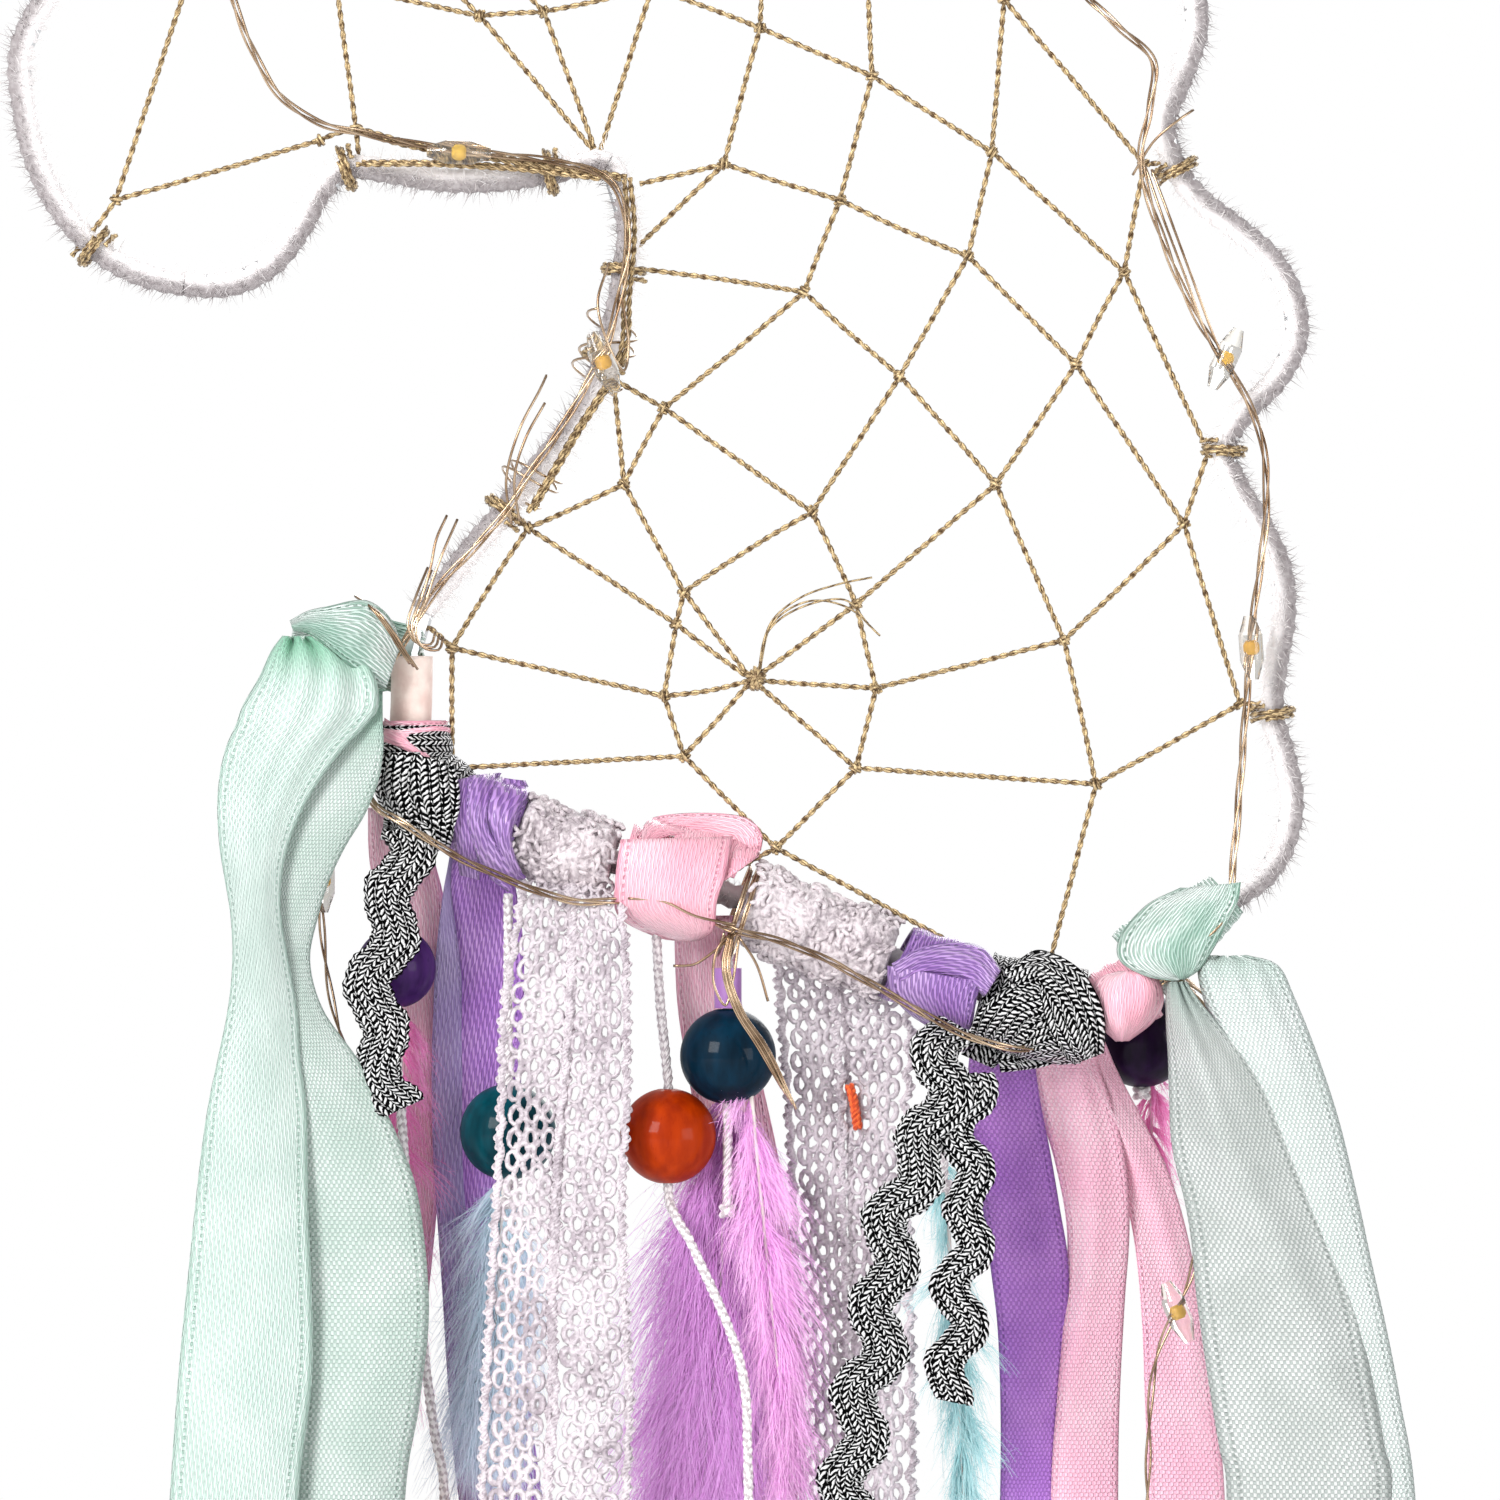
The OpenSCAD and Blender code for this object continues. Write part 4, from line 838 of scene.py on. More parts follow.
def make_lights():
    shape = Shape().add_all(strands(smooth(LIGHT_ROUTE, 0.9), 3, WIRE_D / 2, 0.36, 23.0, 6))
    # Turns of wire that tie it to the frame: place, axis, radius, turns and pitch
    ties = [([-1.6, 0, -29.2], [0.95, 0, -0.33], 5.9, 2.0, 1.0), ([51.4, 0, -36.4], [0.6, 0, 0.7], 4.6, 3.0, 0.9),
        ([-27.8, 0, 25], [0.65, 0, 0.75], 3.3, 1.2, 4.2), ([-18.3, 0, 41], [0.3, 0, 1], 3.3, 1.5, 6.5)]
    for place, along, radius, turns, pitch in ties:
        for k in range(2):
            shape.add(tube(coil(place, along, radius + 0.3 * k, turns, pitch, 1.9 * k + 0.5), WIRE_D / 2))
    outer = np.array([[-49.4, -6.4, 10.4], [-47.4, -9.4, 9], [-45.4, -9.8, 6.4], [-43.8, -8.8, 3.8], [-42.6, -7.2, 2]])
    inner = np.array([[-40.4, -5, 14], [-41.8, -7, 10.4], [-42.8, -8, 7], [-42, -8, 4.8], [-40, -7, 4.4],
        [-39.4, -6.4, 6]])
    loops = []
    for k in range(3):
        near = np.array([0.5 * k, -0.15 * k, -0.35 * k])
        loops += [outer + near, inner + near]
    loops += [
        [[-42.4, -7.6, 7], [-41, -7, 10.6], [-40, -6.5, 14], [-39.3, -6, 17.5], [-38, -5, 20.5]],
        [[-41.8, -7.8, 7], [-40.4, -7, 10.4], [-39.4, -6.8, 13.4], [-38.2, -6.3, 16.5], [-36.7, -5, 20]],
        [[-30, -4, 19.5], [-30.6, -6, 25], [-29, -6.6, 31], [-26.5, -5, 36], [-25.6, -4, 38]],
        [[-29, -4, 19.8], [-29.6, -6, 25], [-28.2, -6.4, 30], [-25.8, -5, 34.5]],
        [[-17.8, -4.4, 52], [-19.2, -6, 47], [-18, -6.4, 42], [-16, -5, 38.5], [-15.4, -4, 42], [-16.3, -5, 48]],
        [[-1.8, -7.6, -31.5], [-5, -8, -34], [-7.2, -8, -35.4], [-9.8, -7.8, -35.6]],
        [[-2, -7.8, -30.5], [-7, -8, -29.4], [-11, -7.4, -27.6], [-15.4, -6.8, -27.2]],
        [[52, -5, -36.8], [55.5, -6, -34.5], [57.4, -6.4, -31.6], [57.9, -6.2, -30.6]],
        [[52.5, -5.5, -37], [56, -6.2, -39], [58, -6.4, -42], [58.8, -6.2, -45.5]],
        [[52.3, -5.5, -37.2], [55.6, -6, -39.6], [57.4, -6.4, -42.4], [58.2, -6.2, -45.6]],
        [[49, -4.6, 64], [51, -6, 58], [54, -6.4, 50], [57, -6, 42], [60.3, -5, 37]],
        [[49.8, -4.6, 63.6], [52, -6, 57.6], [54.8, -6.4, 50], [57.6, -6, 42.5], [59.8, -5, 38]],
        [[47.5, -3, 63], [50, -5.5, 67], [53, -6, 69.6], [55, -5, 71]],
    ]
    shape.add_all(tube(smooth(loop, 0.7), WIRE_D / 2) for loop in loops)
    shape.piece("light_wires", "frame", COPPER, "copper_wire", "light_wire")
    loops = [
        [[-2, -7.5, -31], [-4.3, -8, -33.5], [-4.8, -8.2, -37.5], [-3.3, -8.2, -40.5], [-2.3, -8, -37],
            [-1.6, -7.6, -32]],
        [[-1.6, -7.6, -32], [0.6, -8, -35.5], [2, -8, -40]],
    ]
    pigtail = Shape().add_all(tube(smooth(loop, 0.7), WIRE_D / 2) for loop in loops)
    for k in range(5):
        shift = np.array([0.45 * (k - 2), -0.25 * (k % 2), -0.15 * k])
        end = [4.6, -9, -50.8 - 0.5 * k]
        route = np.array([[-2.6, -7.6, -31.5], [-3.2, -8.6, -36], [-1.6, -8.8, -41], [1.4, -9, -45.6], end])
        pigtail.add(tube(smooth(route + shift * np.linspace(0.3, 1, 5)[:, None], 0.8), WIRE_D / 2))
    pigtail.piece("pigtail_strands", "teal_string", COPPER, "copper_wire", "light_pigtail")


# The six drops: across, depth, up, and how far each leans, in degrees
LEDS = [[-36.5, -5, 65.7, 88], [-18.5, -5.7, 39.5, 22], [62.2, -5, 4, 4], [-53.5, -4.5, -25, 0], [53.2, 0, -79, 22],
    [59, -5, 40, -24]]


def make_chips():
    """The yellow chip inside each drop."""
    shape = Shape()
    for u, y, v, tilt in LEDS:
        turn = math.radians(tilt)
        up = np.array([-math.sin(turn), 0, math.cos(turn)])
        line = np.array([u, y, v]) + up * np.linspace(-0.9, 0.9, 7)[:, None]
        shape.add(tube(line, [0.4, 0.62, 0.7, 0.7, 0.7, 0.62, 0.4], 10))
    shape.piece("led_chips", "frame", CHIP, "led_epoxy")


def make_orange_end():
    """A short end of orange cord that hangs in front of the right lace."""
    line = smooth([[12.2, 5.2, -50.8], [12.7, 5, -52.6], [13, 5, -54.4], [13.3, 5.2, -56.2]], 0.3)
    shape = Shape().add_all(strands(line, 3, 0.36, 0.32, 2.2, 6))
    shape.piece("orange_thread", "lace_right", ORANGE_THREAD, "orange_wood")


make_lights()
make_chips()
make_orange_end()

# --- Tails ----------------------------------------------------------------------------------------------------


def tail(name, body, material, grid, width, thickness=0.2):
    """One hanging ribbon over its grid, of the width that it was cut."""
    colour = body.split("_")[0]
    shape = Shape().add(cloth(grid, thickness, width))
    made = shape.piece("ribbon_" + name, body, material, colour + "_satin", "tail_" + body)
    long = lengths(grid[:, grid.shape[1] // 2])[-1]


# Rows of [height, left edge, right edge, left depth, right depth, bulge], or with one depth for both edges
MINT_OUTER = [[5.4, -58.4, -53.5, -6.4, -6.6, 0.8], [3.4, -59.8, -49.5, -7.4, -7, 2.2],
    [0.4, -61.1, -47, -9, -7.6, 3], [-3.3, -63.2, -46.5, -10, -8, 3.2], [-5.6, -64, -48, -10, -8.4, 3],
    [-8.3, -65.2, -50.6, -10.2, -9, 2.6], [-11.7, -66, -53.2, -10.4, -9.4, 2.2],
    [-15.8, -66.3, -55.7, -10.6, -9.8, 1.8], [-20.8, -66, -57.7, -10.8, -10, 1.6], [-25, -65.3, -58.5, -11, -10, 1.4],
    [-29.5, -64.6, -58.5, -11, -10, 1.2], [-35, -64.4, -57.6, -11, -9.6, 1.2], [-41, -65, -56.6, -11, -9, 1.4],
    [-47, -66.2, -56.2, -11, -9.6, 1.8], [-54, -67.6, -55.4, -11, -10, 2.2], [-65, -69, -55.2, -11, -10, 2.6],
    [-85, -71, -54.6, -11, -10.4, 2.8], [-102, -72.2, -56.4, -11, -10.5, 2.6], [-130, -74, -57.6, -11, -10.5, 2.4],
    [-170, -75, -59, -10, -11, 2.4], [-210, -75.6, -59.6, -10.5, -10.5, 2.2], [-258, -76, -60, -10.3, -10.3, 2]]
MINT_INNER = [[-1.5, -49, -46, -6.8, -5.8, 0.3], [-5.8, -51, -45.9, -7.4, -7.8, 0.4],
    [-8.3, -53, -45.8, -7.4, -8.2, 0.5], [-12.5, -56, -46.4, -7.4, -8.4, 0.7], [-16.7, -58.4, -48.1, -7.6, -8.4, 0.8],
    [-20.8, -59.6, -50.6, -7.6, -8.2, 0.8], [-25, -60.2, -52.6, -7.6, -8, 0.8], [-29.5, -60.4, -54, -7.6, -8, 0.8],
    [-35, -60, -55, -7.4, -8, 0.8], [-41, -59, -53.4, -7.4, -8.2, 0.8], [-47, -58.4, -49.2, -7.2, -8.6, 1],
    [-52, -57.6, -46.4, -7.2, -8.8, 1.4], [-58, -57, -43.6, -7.2, -8.6, 1.8], [-65, -56.4, -41.4, -7.4, -8.4, 2.2],
    [-78, -56, -40.2, -7.4, -8.2, 2.4], [-90, -56, -41.4, -7.6, -8, 2.4], [-102, -56.4, -43.2, -7.6, -8, 2.2],
    [-130, -57, -44, -7.8, -7.8, 2], [-170, -56.6, -43, -8, -7.6, 2], [-210, -57, -43.4, -7.8, -7.8, 2],
    [-248, -57, -43, -7.7, -7.7, 1.8]]
MINT_RIGHT_INNER = [[-37.6, 51.8, 54, -6.6, -6.2, 0.4], [-39.8, 51.6, 55.4, -8, -7.4, 1],
    [-43, 51.6, 58, -9.2, -8, 1.6], [-47, 51.8, 61.4, -9.8, -8.4, 2.2], [-51.5, 51.9, 64.2, -10, -8.8, 2.6],
    [-58, 52.2, 67, -10, -9, 2.8], [-65, 53.8, 70, -10, -9.2, 3], [-70, 54.6, 72.4, -10, -9.2, 3],
    [-76.5, 55.2, 74.8, -10, -9.4, 3], [-85, 56.4, 76.6, -10, -9.4, 3], [-95, 58, 78.4, -10, -9.6, 3],
    [-102, 59, 79.4, -10, -9.6, 2.8], [-130, 58.6, 78.4, -10, -9.8, 2.4], [-170, 56.6, 75.6, -9.8, -10, 2.4],
    [-210, 55, 73.4, -10, -9.8, 2.2], [-254, 52.4, 70.6, -9.8, -9.8, 2]]
MINT_RIGHT_OUTER = [[-34.4, 56.6, 61.6, -3.4, -4, 0.8], [-35.6, 55.6, 65.4, -5.4, -5, 1.6],
    [-39.5, 56.2, 67.4, -7, -6, 2.4], [-46.5, 58.6, 70.2, -7.6, -6.8, 2.6], [-55, 61, 73, -7.6, -7.2, 2.4],
    [-65, 63.4, 75.4, -7.6, -7.4, 2.4], [-72.5, 65.4, 77, -7.6, -7.6, 2.4], [-81.5, 67.4, 79, -7.6, -7.6, 2.4],
    [-90, 69, 80.6, -7.6, -7.8, 2.2], [-102, 70.4, 82.4, -7.6, -8, 2.2], [-130, 70.4, 83.6, -7.8, -8.2, 2],
    [-170, 70, 84.6, -8, -8.4, 2], [-210, 70, 85.6, -8, -8.2, 2], [-256, 70, 86, -8, -8, 1.8]]
PURPLE_LEFT = [[-20.5, -36.5, -30.5, 2, 0.4], [-25, -38.4, -29.8, 5, 0.8], [-32, -39.2, -28.8, 7, 1.2],
    [-40, -39.4, -28.6, 7, 1.2], [-50, -39.2, -29, 7.4, 1.2], [-65, -38.8, -29.4, 7.6, 1.2],
    [-80, -37.6, -28.6, 7.7, 1.2], [-98, -35.8, -27, 7.7, 1.2], [-130, -32, -22, 7.7, 1.2], [-180, -31, -21, 7.7, 1],
    [-230, -30, -20, 7.7, 1]]
PURPLE_RIGHT = [[-44, 27.6, 34.6, -2, 0.4], [-48, 27.2, 35.4, 3, 0.8], [-53, 27, 36.2, 6, 1],
    [-59, 27.6, 37.4, 7.2, 1], [-66, 28.8, 38.6, 7.6, 1], [-74, 30, 39.8, 7.7, 1], [-84, 31, 39.4, 7.7, 1.2],
    [-102, 31.2, 38, 7.7, 1.4], [-130, 30, 37, 7.7, 1.4], [-180, 27.6, 36.4, 7.7, 1.2], [-230, 26, 36, 7.7, 1]]
PINK_LEFT = [[-16, -48, -41.6, 2.6, 0.4], [-22, -48, -40, 6, 0.8], [-30, -47, -38.4, 7.8, 1.2],
    [-45, -46, -38.4, 8.2, 1.2], [-60, -47, -39, 8.2, 1.2], [-92, -52, -42.4, 8, 1.4], [-130, -57, -48, 8, 1.2],
    [-175, -56.4, -47.4, 8, 1.2], [-226, -56, -47, 8, 1]]
PINK_MIDDLE = [[-29.5, -9.6, -2.4, 3, 0.4], [-35, -9.6, -2, 5.6, 0.6], [-42, -9.2, -1, 7.2, 1],
    [-52, -7.6, 1.6, 7.4, 1.2], [-64, -5.6, 4, 7.6, 1.2], [-80, -3.6, 5.6, 7.7, 1.2], [-100, -3, 5.8, 7.7, 1.2],
    [-130, -4.6, 4.2, 7.7, 1.2], [-180, -6.4, 4, 7.7, 1], [-246, -7.8, 4, 7.7, 1]]
PINK_RIGHT_INNER = [[-44.5, 35, 42.4, -1, 0.4], [-48.5, 35.2, 43.4, 3.6, 0.8], [-54, 36.2, 45.4, 6.6, 1.2],
    [-61, 38.2, 47, 7.6, 1.4], [-69, 39.6, 47.4, 7.8, 1.4], [-78, 39.4, 46.8, 7.8, 1.4], [-90, 38.4, 46.2, 7.8, 1.4],
    [-102, 37.6, 46, 7.8, 1.4], [-130, 37.2, 46, 7.8, 1.2], [-180, 37, 46, 7.8, 1], [-244, 37, 46, 7.8, 1]]
PINK_RIGHT_OUTER = [[-45, 38, 44, 0, 0.4], [-49, 40, 45.8, 5, 0.8], [-55, 43, 49, 8, 1.2], [-62, 46, 52.4, 8.8, 1.4],
    [-70, 48, 54.8, 9, 1.4], [-80, 49, 56.6, 9, 1.4], [-90, 49.4, 58, 9, 1.4], [-102, 49.8, 59.4, 9, 1.2],
    [-130, 50, 60, 8.8, 1.2], [-180, 51, 61, 8.6, 1], [-246, 52, 62, 8.4, 1]]


PURPLE_FOLD = [[-21, -37.6, -37.4, 3, 3, 0.1], [-26, -38.6, -37.8, 4.4, 4.8, 0.1], [-34, -39.6, -36.8, 6, 6.4, 0.3],
    [-42, -40, -36.2, 6.6, 7, 0.3], [-50, -40.2, -36, 6.8, 7.2, 0.3], [-60, -40, -35.8, 7, 7.4, 0.3],
    [-75, -39, -35, 7.2, 7.4, 0.3], [-98, -37.4, -33.6, 7.3, 7.4, 0.3], [-130, -33.6, -30.4, 7.4, 7.4, 0.2],
    [-200, -31.8, -29.6, 7.4, 7.4, 0.2]]


def make_ribbons():
    fold = Shape().add(cloth(strip(PURPLE_FOLD, 7), 0.16))
    fold.piece("ribbon_purple_left_fold", "purple_left", LAVENDER, "purple_satin")
    grid = strip(MINT_OUTER, 25, cut=-8, gather=1.3, ripple=0.5)
    tail("mint_left_outer", "mint_left", MINT, grid, 18.5)
    grid = strip(MINT_INNER, 15, cut=-6, ripple=0.5, start=1.0)
    tail("mint_left_inner", "mint_left", MINT_BACK, grid, 15.5)
    grid = strip(MINT_RIGHT_INNER, 21, cut=8, gather=0.6, ripple=0.4, start=2.0, fold=(0.25, 0.85, 62, 1.6))
    tail("mint_right_inner", "mint_right", MINT_PALE_SHADED, grid, 18.5)
    grid = strip(MINT_RIGHT_OUTER, 15, cut=7, gather=0.8, ripple=0.5, start=3.1)
    tail("mint_right_outer", "mint_right", MINT_PALE, grid, 15.0)
    back = [
        ("purple_left", "purple_left", PURPLE, PURPLE_LEFT, 10.5, -5, (0.2, 0.7, 50, 0.6)),
        ("purple_right", "purple_right", PURPLE_BACK, PURPLE_RIGHT, 10.0, 5, None),
        ("pink_left", "pink_left", PINK, PINK_LEFT, 10.0, 5, None),
        ("pink_middle", "pink_middle", PINK, PINK_MIDDLE, 10.0, -5, (0.3, 0.7, 40, 0.5)),
        ("pink_right_inner", "pink_right", PINK_BACK, PINK_RIGHT_INNER, 10.0, 5, (0.7, 0.2, 45, 0.7)),
        ("pink_right_outer", "pink_right", PINK_BACK, PINK_RIGHT_OUTER, 10.0, -5, (0.3, 0.8, 40, 0.6)),
    ]
    for number, (name, body, material, rows, width, cut, fold) in enumerate(back):
        grid = strip(rows, cut=cut, gather=0.5, ripple=0.4, start=1.7 * number, fold=fold, flat=0.4)
        tail(name, body, material, grid, width, 0.16)


make_ribbons()

# --- Lace -----------------------------------------------------------------------------------------------------

LACE_LEFT_A = [[-25, -28.2, -22.6, -2, 0.2], [-28, -28.6, -22.5, -5.4, 0.3], [-34, -29.6, -22.4, -7, 0.5],
    [-42, -30.8, -22.6, -7.6, 0.6], [-53, -31, -23.6, -7.8, 0.6], [-65, -31.6, -24.4, -7.8, 0.6],
    [-90, -33, -25.2, -7.8, 0.6], [-130, -34, -26, -7.7, 0.5], [-180, -34, -25.6, -7.7, 0.5],
    [-232, -34, -25.2, -7.7, 0.4]]
LACE_LEFT_B = [[-25, -22.6, -16.8, -2, 0.2], [-28, -22.5, -16.6, -5.4, 0.3], [-34, -22.4, -16, -7.2, 0.5],
    [-42, -22.6, -15.8, -8, 0.6], [-53, -23.6, -15.8, -8, 0.6], [-65, -24.4, -16.4, -8, 0.6],
    [-77, -25, -16, -8, 0.6], [-90, -24.4, -15.4, -8, 0.6], [-102, -25.4, -15.8, -8, 0.6],
    [-130, -25, -16.6, -7.8, 0.5], [-180, -24.6, -17, -7.7, 0.5], [-238, -24.6, -17, -7.7, 0.4]]
LACE_RIGHT_A = [[-34, 3.4, 10.8, -1, 0.2], [-38, 3.6, 11, 3, 0.3], [-44, 4, 11.6, 6, 0.5], [-54, 4.8, 12, 7.2, 0.6],
    [-65, 5.4, 12.2, 7.6, 0.6], [-84, 6.2, 12.6, 7.7, 0.6], [-102, 6.6, 13.2, 7.7, 0.6], [-130, 5.6, 12.2, 7.7, 0.5],
    [-180, 5.4, 12.4, 7.7, 0.5], [-232, 5.6, 13, 7.7, 0.4]]
LACE_RIGHT_B = [[-37, 10.8, 18.6, -1, 0.2], [-41, 10.9, 19, 2.6, 0.3], [-47, 11.4, 19.4, 5.4, 0.5],
    [-56, 11.8, 18.8, 6.4, 0.6], [-66, 12, 19, 6.8, 0.6], [-84, 12.4, 19.4, 6.9, 0.6], [-102, 12.8, 19.6, 7, 0.6],
    [-130, 12.2, 19.2, 7.2, 0.5], [-180, 13, 20.6, 7.4, 0.5], [-230, 14.2, 22, 7.4, 0.4]]


# Eyelets in a row, mm from row to row, points round an eyelet, and the lace's cut width
EYELETS, LACE_PITCH, LACE_POINTS, LACE_WIDTH = 3, 1.5, 10, 10.0
NET_SHARE = 0.88  # of the width, between the two edges


def lace_net(grid, s, rng):
    """A net of eyelets in staggered rows. Each is a ring of four circles of points: rim, top, hole and underside."""
    shape = Shape()
    columns = grid.shape[1]
    ring = np.arange(LACE_POINTS)
    following = (ring + 1) % LACE_POINTS
    angle = ring * TAU / LACE_POINTS
    starts = [(a * LACE_POINTS, (a + 1) % 4 * LACE_POINTS) for a in range(4)]
    faces = np.vstack([np.stack([a + ring, b + ring, b + following, a + following], -1) for a, b in starts])
    half = 0.5 * NET_SHARE / EYELETS
    for i in range(int((s[-1] - 2) / LACE_PITCH)):
        odd = i % 2
        for k in range(EYELETS - odd):
            t0 = 0.06 + NET_SHARE * (k + 0.5 + 0.5 * odd + 0.06 * math.sin(i * 1.7 + k)) / EYELETS
            s0 = 1.2 + i * LACE_PITCH
            hole = 0.27 + 0.13 * rng.random()
            jag = 1 + 0.2 * rng.normal(size=LACE_POINTS) + 0.1 * np.cos(2 * angle + rng.random() * 6)
            shift = rng.normal(scale=0.09, size=2)
            if rng.random() < 0.05:
                hole = 0.12
            circles = []
            for size, tall, lift in ((1.0, 1.02, 0.0), (0.7, 1.1, -0.16), (hole * jag, 1.5, 0.0), (0.7, 1.1, 0.16)):
                t = t0 + half * (np.cos(angle) * size + shift[0])
                at = s0 + LACE_PITCH * 0.96 * (np.sin(angle) * size * tall + shift[1])
                circle = sample(grid, np.interp(at, s, np.arange(len(s))), t * (columns - 1))
                circle[:, 1] += lift + 0.05 * math.sin(i * 2.1 + k)
                circles.append(circle)
            shape.add((np.vstack(circles), [faces], np.zeros((4 * LACE_POINTS, 3))))
    return shape


def lace_edges(grid, s, scallop):
    """A crocheted edge down either side, with a row of small loops outside it."""
    edge = Shape()
    fine = np.arange(0.3, s[-1] - 0.3, 0.4)
    at_row = np.interp(fine, s, np.arange(len(s)))
    for side, sign in ((0.03, -1), (0.97, 1)):
        wave = scallop * np.abs(np.sin(math.pi * fine / 3.6))
        base = sample(grid, at_row, np.full(len(fine), side * (grid.shape[1] - 1)))
        picots = base.copy()
        base[:, 0] += sign * wave
        edge.add_all(strands(base, 3, 0.26, 0.3, 1.7, start=side))
        picots[:, 0] += sign * (wave + 0.35 + 0.3 * np.sin(fine * 5.2))
        picots[:, 1] += 0.3 * np.cos(fine * 5.2)
        edge.add(tube(smooth(picots, 0.3), 0.19, 5))
    return edge


def lace(side, letter, rows, seed, scallop=0.5):
    name, body = f"lace_{side}_{letter}", "lace_" + side
    grid = strip(rows, 13, 0.8, ripple=0.25, start=seed)
    s = lengths(grid[:, 6])
    made = lace_net(grid, s, np.random.default_rng(seed)).piece(name, body, LACE, "white_lace", "tail_" + body)
    edging = lace_edges(grid, s, scallop).piece(name + "_edge", body, LACE, "white_lace")


lace("left", "a", LACE_LEFT_A, 21)
lace("left", "b", LACE_LEFT_B, 22)
lace("right", "a", LACE_RIGHT_A, 23)
lace("right", "b", LACE_RIGHT_B, 24, 0.9)

# --- Rick-rack ------------------------------------------------------------------------------------------------


def rickrack(line, width, wave, period, start):
    """The grid of a waving flat braid along a line. It keeps its width as it waves."""
    line = smooth(line, 0.5)
    s = lengths(line)
    side = unit(np.cross(unit(np.gradient(line, axis=0)), [0.0, 1.0, 0.0]))
    phase = TAU * s / period + start
    waved = smooth(np.column_stack([line + side * (wave * np.sin(phase))[:, None], side]), 0.32)
    waved, side = waved[:, :3], waved[:, 3:]
    along = unit(np.gradient(waved, axis=0))
    side = unit(0.65 * side + 0.35 * unit(np.cross(along, [0.0, 1.0, 0.0])))
    s = lengths(waved)
    t = np.linspace(-0.5, 0.5, 31)
    wide = width * (1 + 0.05 * np.sin(s * 1.7) + 0.04 * np.sin(s * 6.0))
    grid = waved[:, None] - side[:, None] * (wide[:, None] * t[None])[..., None]
    crown = 0.4 * np.cos(math.pi * t)[None] + 0.2 * np.abs(np.cos(math.pi * t * width))[None]
    grid[..., 1] -= crown + 0.9 * np.sin(s / 1.9 + start)[:, None] * t[None] + 0.35 * np.sin(s / 3.1)[:, None]
    return grid


def make_rickrack():
    left = [[-43.6, -7, -18.5], [-43.4, -7.8, -24], [-45.2, -8, -30.5], [-46.4, -8, -37], [-46.8, -8, -43],
        [-45.6, -8, -48.5], [-44.2, -7.8, -53.5]]
    right_a = [[25, -5, -43], [23.8, -7, -47], [23.6, -8, -51.5], [22, -8, -57], [19.6, -8, -62], [17.6, -8, -68],
        [16.4, -8, -75], [15.6, -8, -82], [14, -8, -88.5], [12.8, -8, -95], [12.2, -8, -102.5], [12.6, -8, -113],
        [13, -8, -130], [13, -8, -150], [13.6, -8, -172]]
    right_b = [[27.5, -6, -49], [26.4, -7, -54], [26.4, -7.4, -60], [27.4, -7.4, -66], [26, -7.4, -73],
        [25.8, -7.4, -80], [25, -7.4, -86], [24, -7.4, -89.5]]
    # Body, end of the name, line, width, size and period of the waves, and where they start
    runs = [("rickrack_left", "", left, 6.0, 1.3, 11.6, 0.3), ("rickrack_right", "_a", right_a, 5.8, 1.4, 11.0, 2.4),
        ("rickrack_right", "_b", right_b, 4.6, 1.3, 9.8, 0.0)]
    for body, end, line, width, wave, period, start in runs:
        shape = Shape().add(cloth(rickrack(line, width, wave, period, start), 0.75, width, 0.0))
        shape.piece(f"{body}_tail{end}", body, RICKRACK, "metallic_rickrack", "tail_" + body)


make_rickrack()

# --- Knots ----------------------------------------------------------------------------------------------------


BAR_LINE = smooth(stand([[64, -24.5]] + BAR + [[-42.5, -3.5]]), 0.5)


def bar_frame(u):
    """A point of the bar at a place across, with its heading."""
    i = int(np.abs(BAR_LINE[:, 0] - u).argmin())
    along = unit(BAR_LINE[min(i + 3, len(BAR_LINE) - 1)] - BAR_LINE[max(i - 3, 0)])
    return BAR_LINE[i], along * (1 if along[0] > 0 else -1)


def band(centre, along, radius, width, turn=(-200, 200), lean=0.0, crease=0.0, folds=3.0, tall=1.0, thickness=0.2):
    """A ribbon wound round an axis, through a turn in degrees, where 0 is the front and 90 the top. lean tilts it,
    and crease is how deep its folds are. tall stretches it upwards."""
    along = unit(np.array(along, float))
    up = np.array([-along[2], 0.0, along[0]])
    front = np.array([0.0, -1.0, 0.0])
    angle = np.radians(np.linspace(turn[0], turn[1], int(abs(turn[1] - turn[0]) / 5) + 1))[:, None]
    t = np.linspace(-0.5, 0.5, 15)[None]
    out = radius + crease * np.sin(folds * TAU * (t + 0.08 * np.sin(2 * angle))) + 0.25 * np.cos(math.pi * t)
    across = t * width + lean * np.sin(angle + 0.3)
    grid = (np.array(centre, float) + along * across[..., None] + front * (out * np.cos(angle))[..., None]
        + up * (out * tall * np.sin(angle))[..., None])
    return cloth(grid, thickness, width)


def wrap(bands, **shared):
    """Bands round the bar, as (place across, settings)."""
    return Shape().add_all(band(*bar_frame(u), **shared, **settings) for u, settings in bands)


def evenly(line, count):
    """A line's [across, up] points again, evenly spaced."""
    line = smooth(line, 0.3)
    s = lengths(np.column_stack([line, np.zeros(len(line))]))
    at = np.linspace(0, s[-1], count)
    return np.stack([np.interp(at, s, column) for column in line.T], -1)


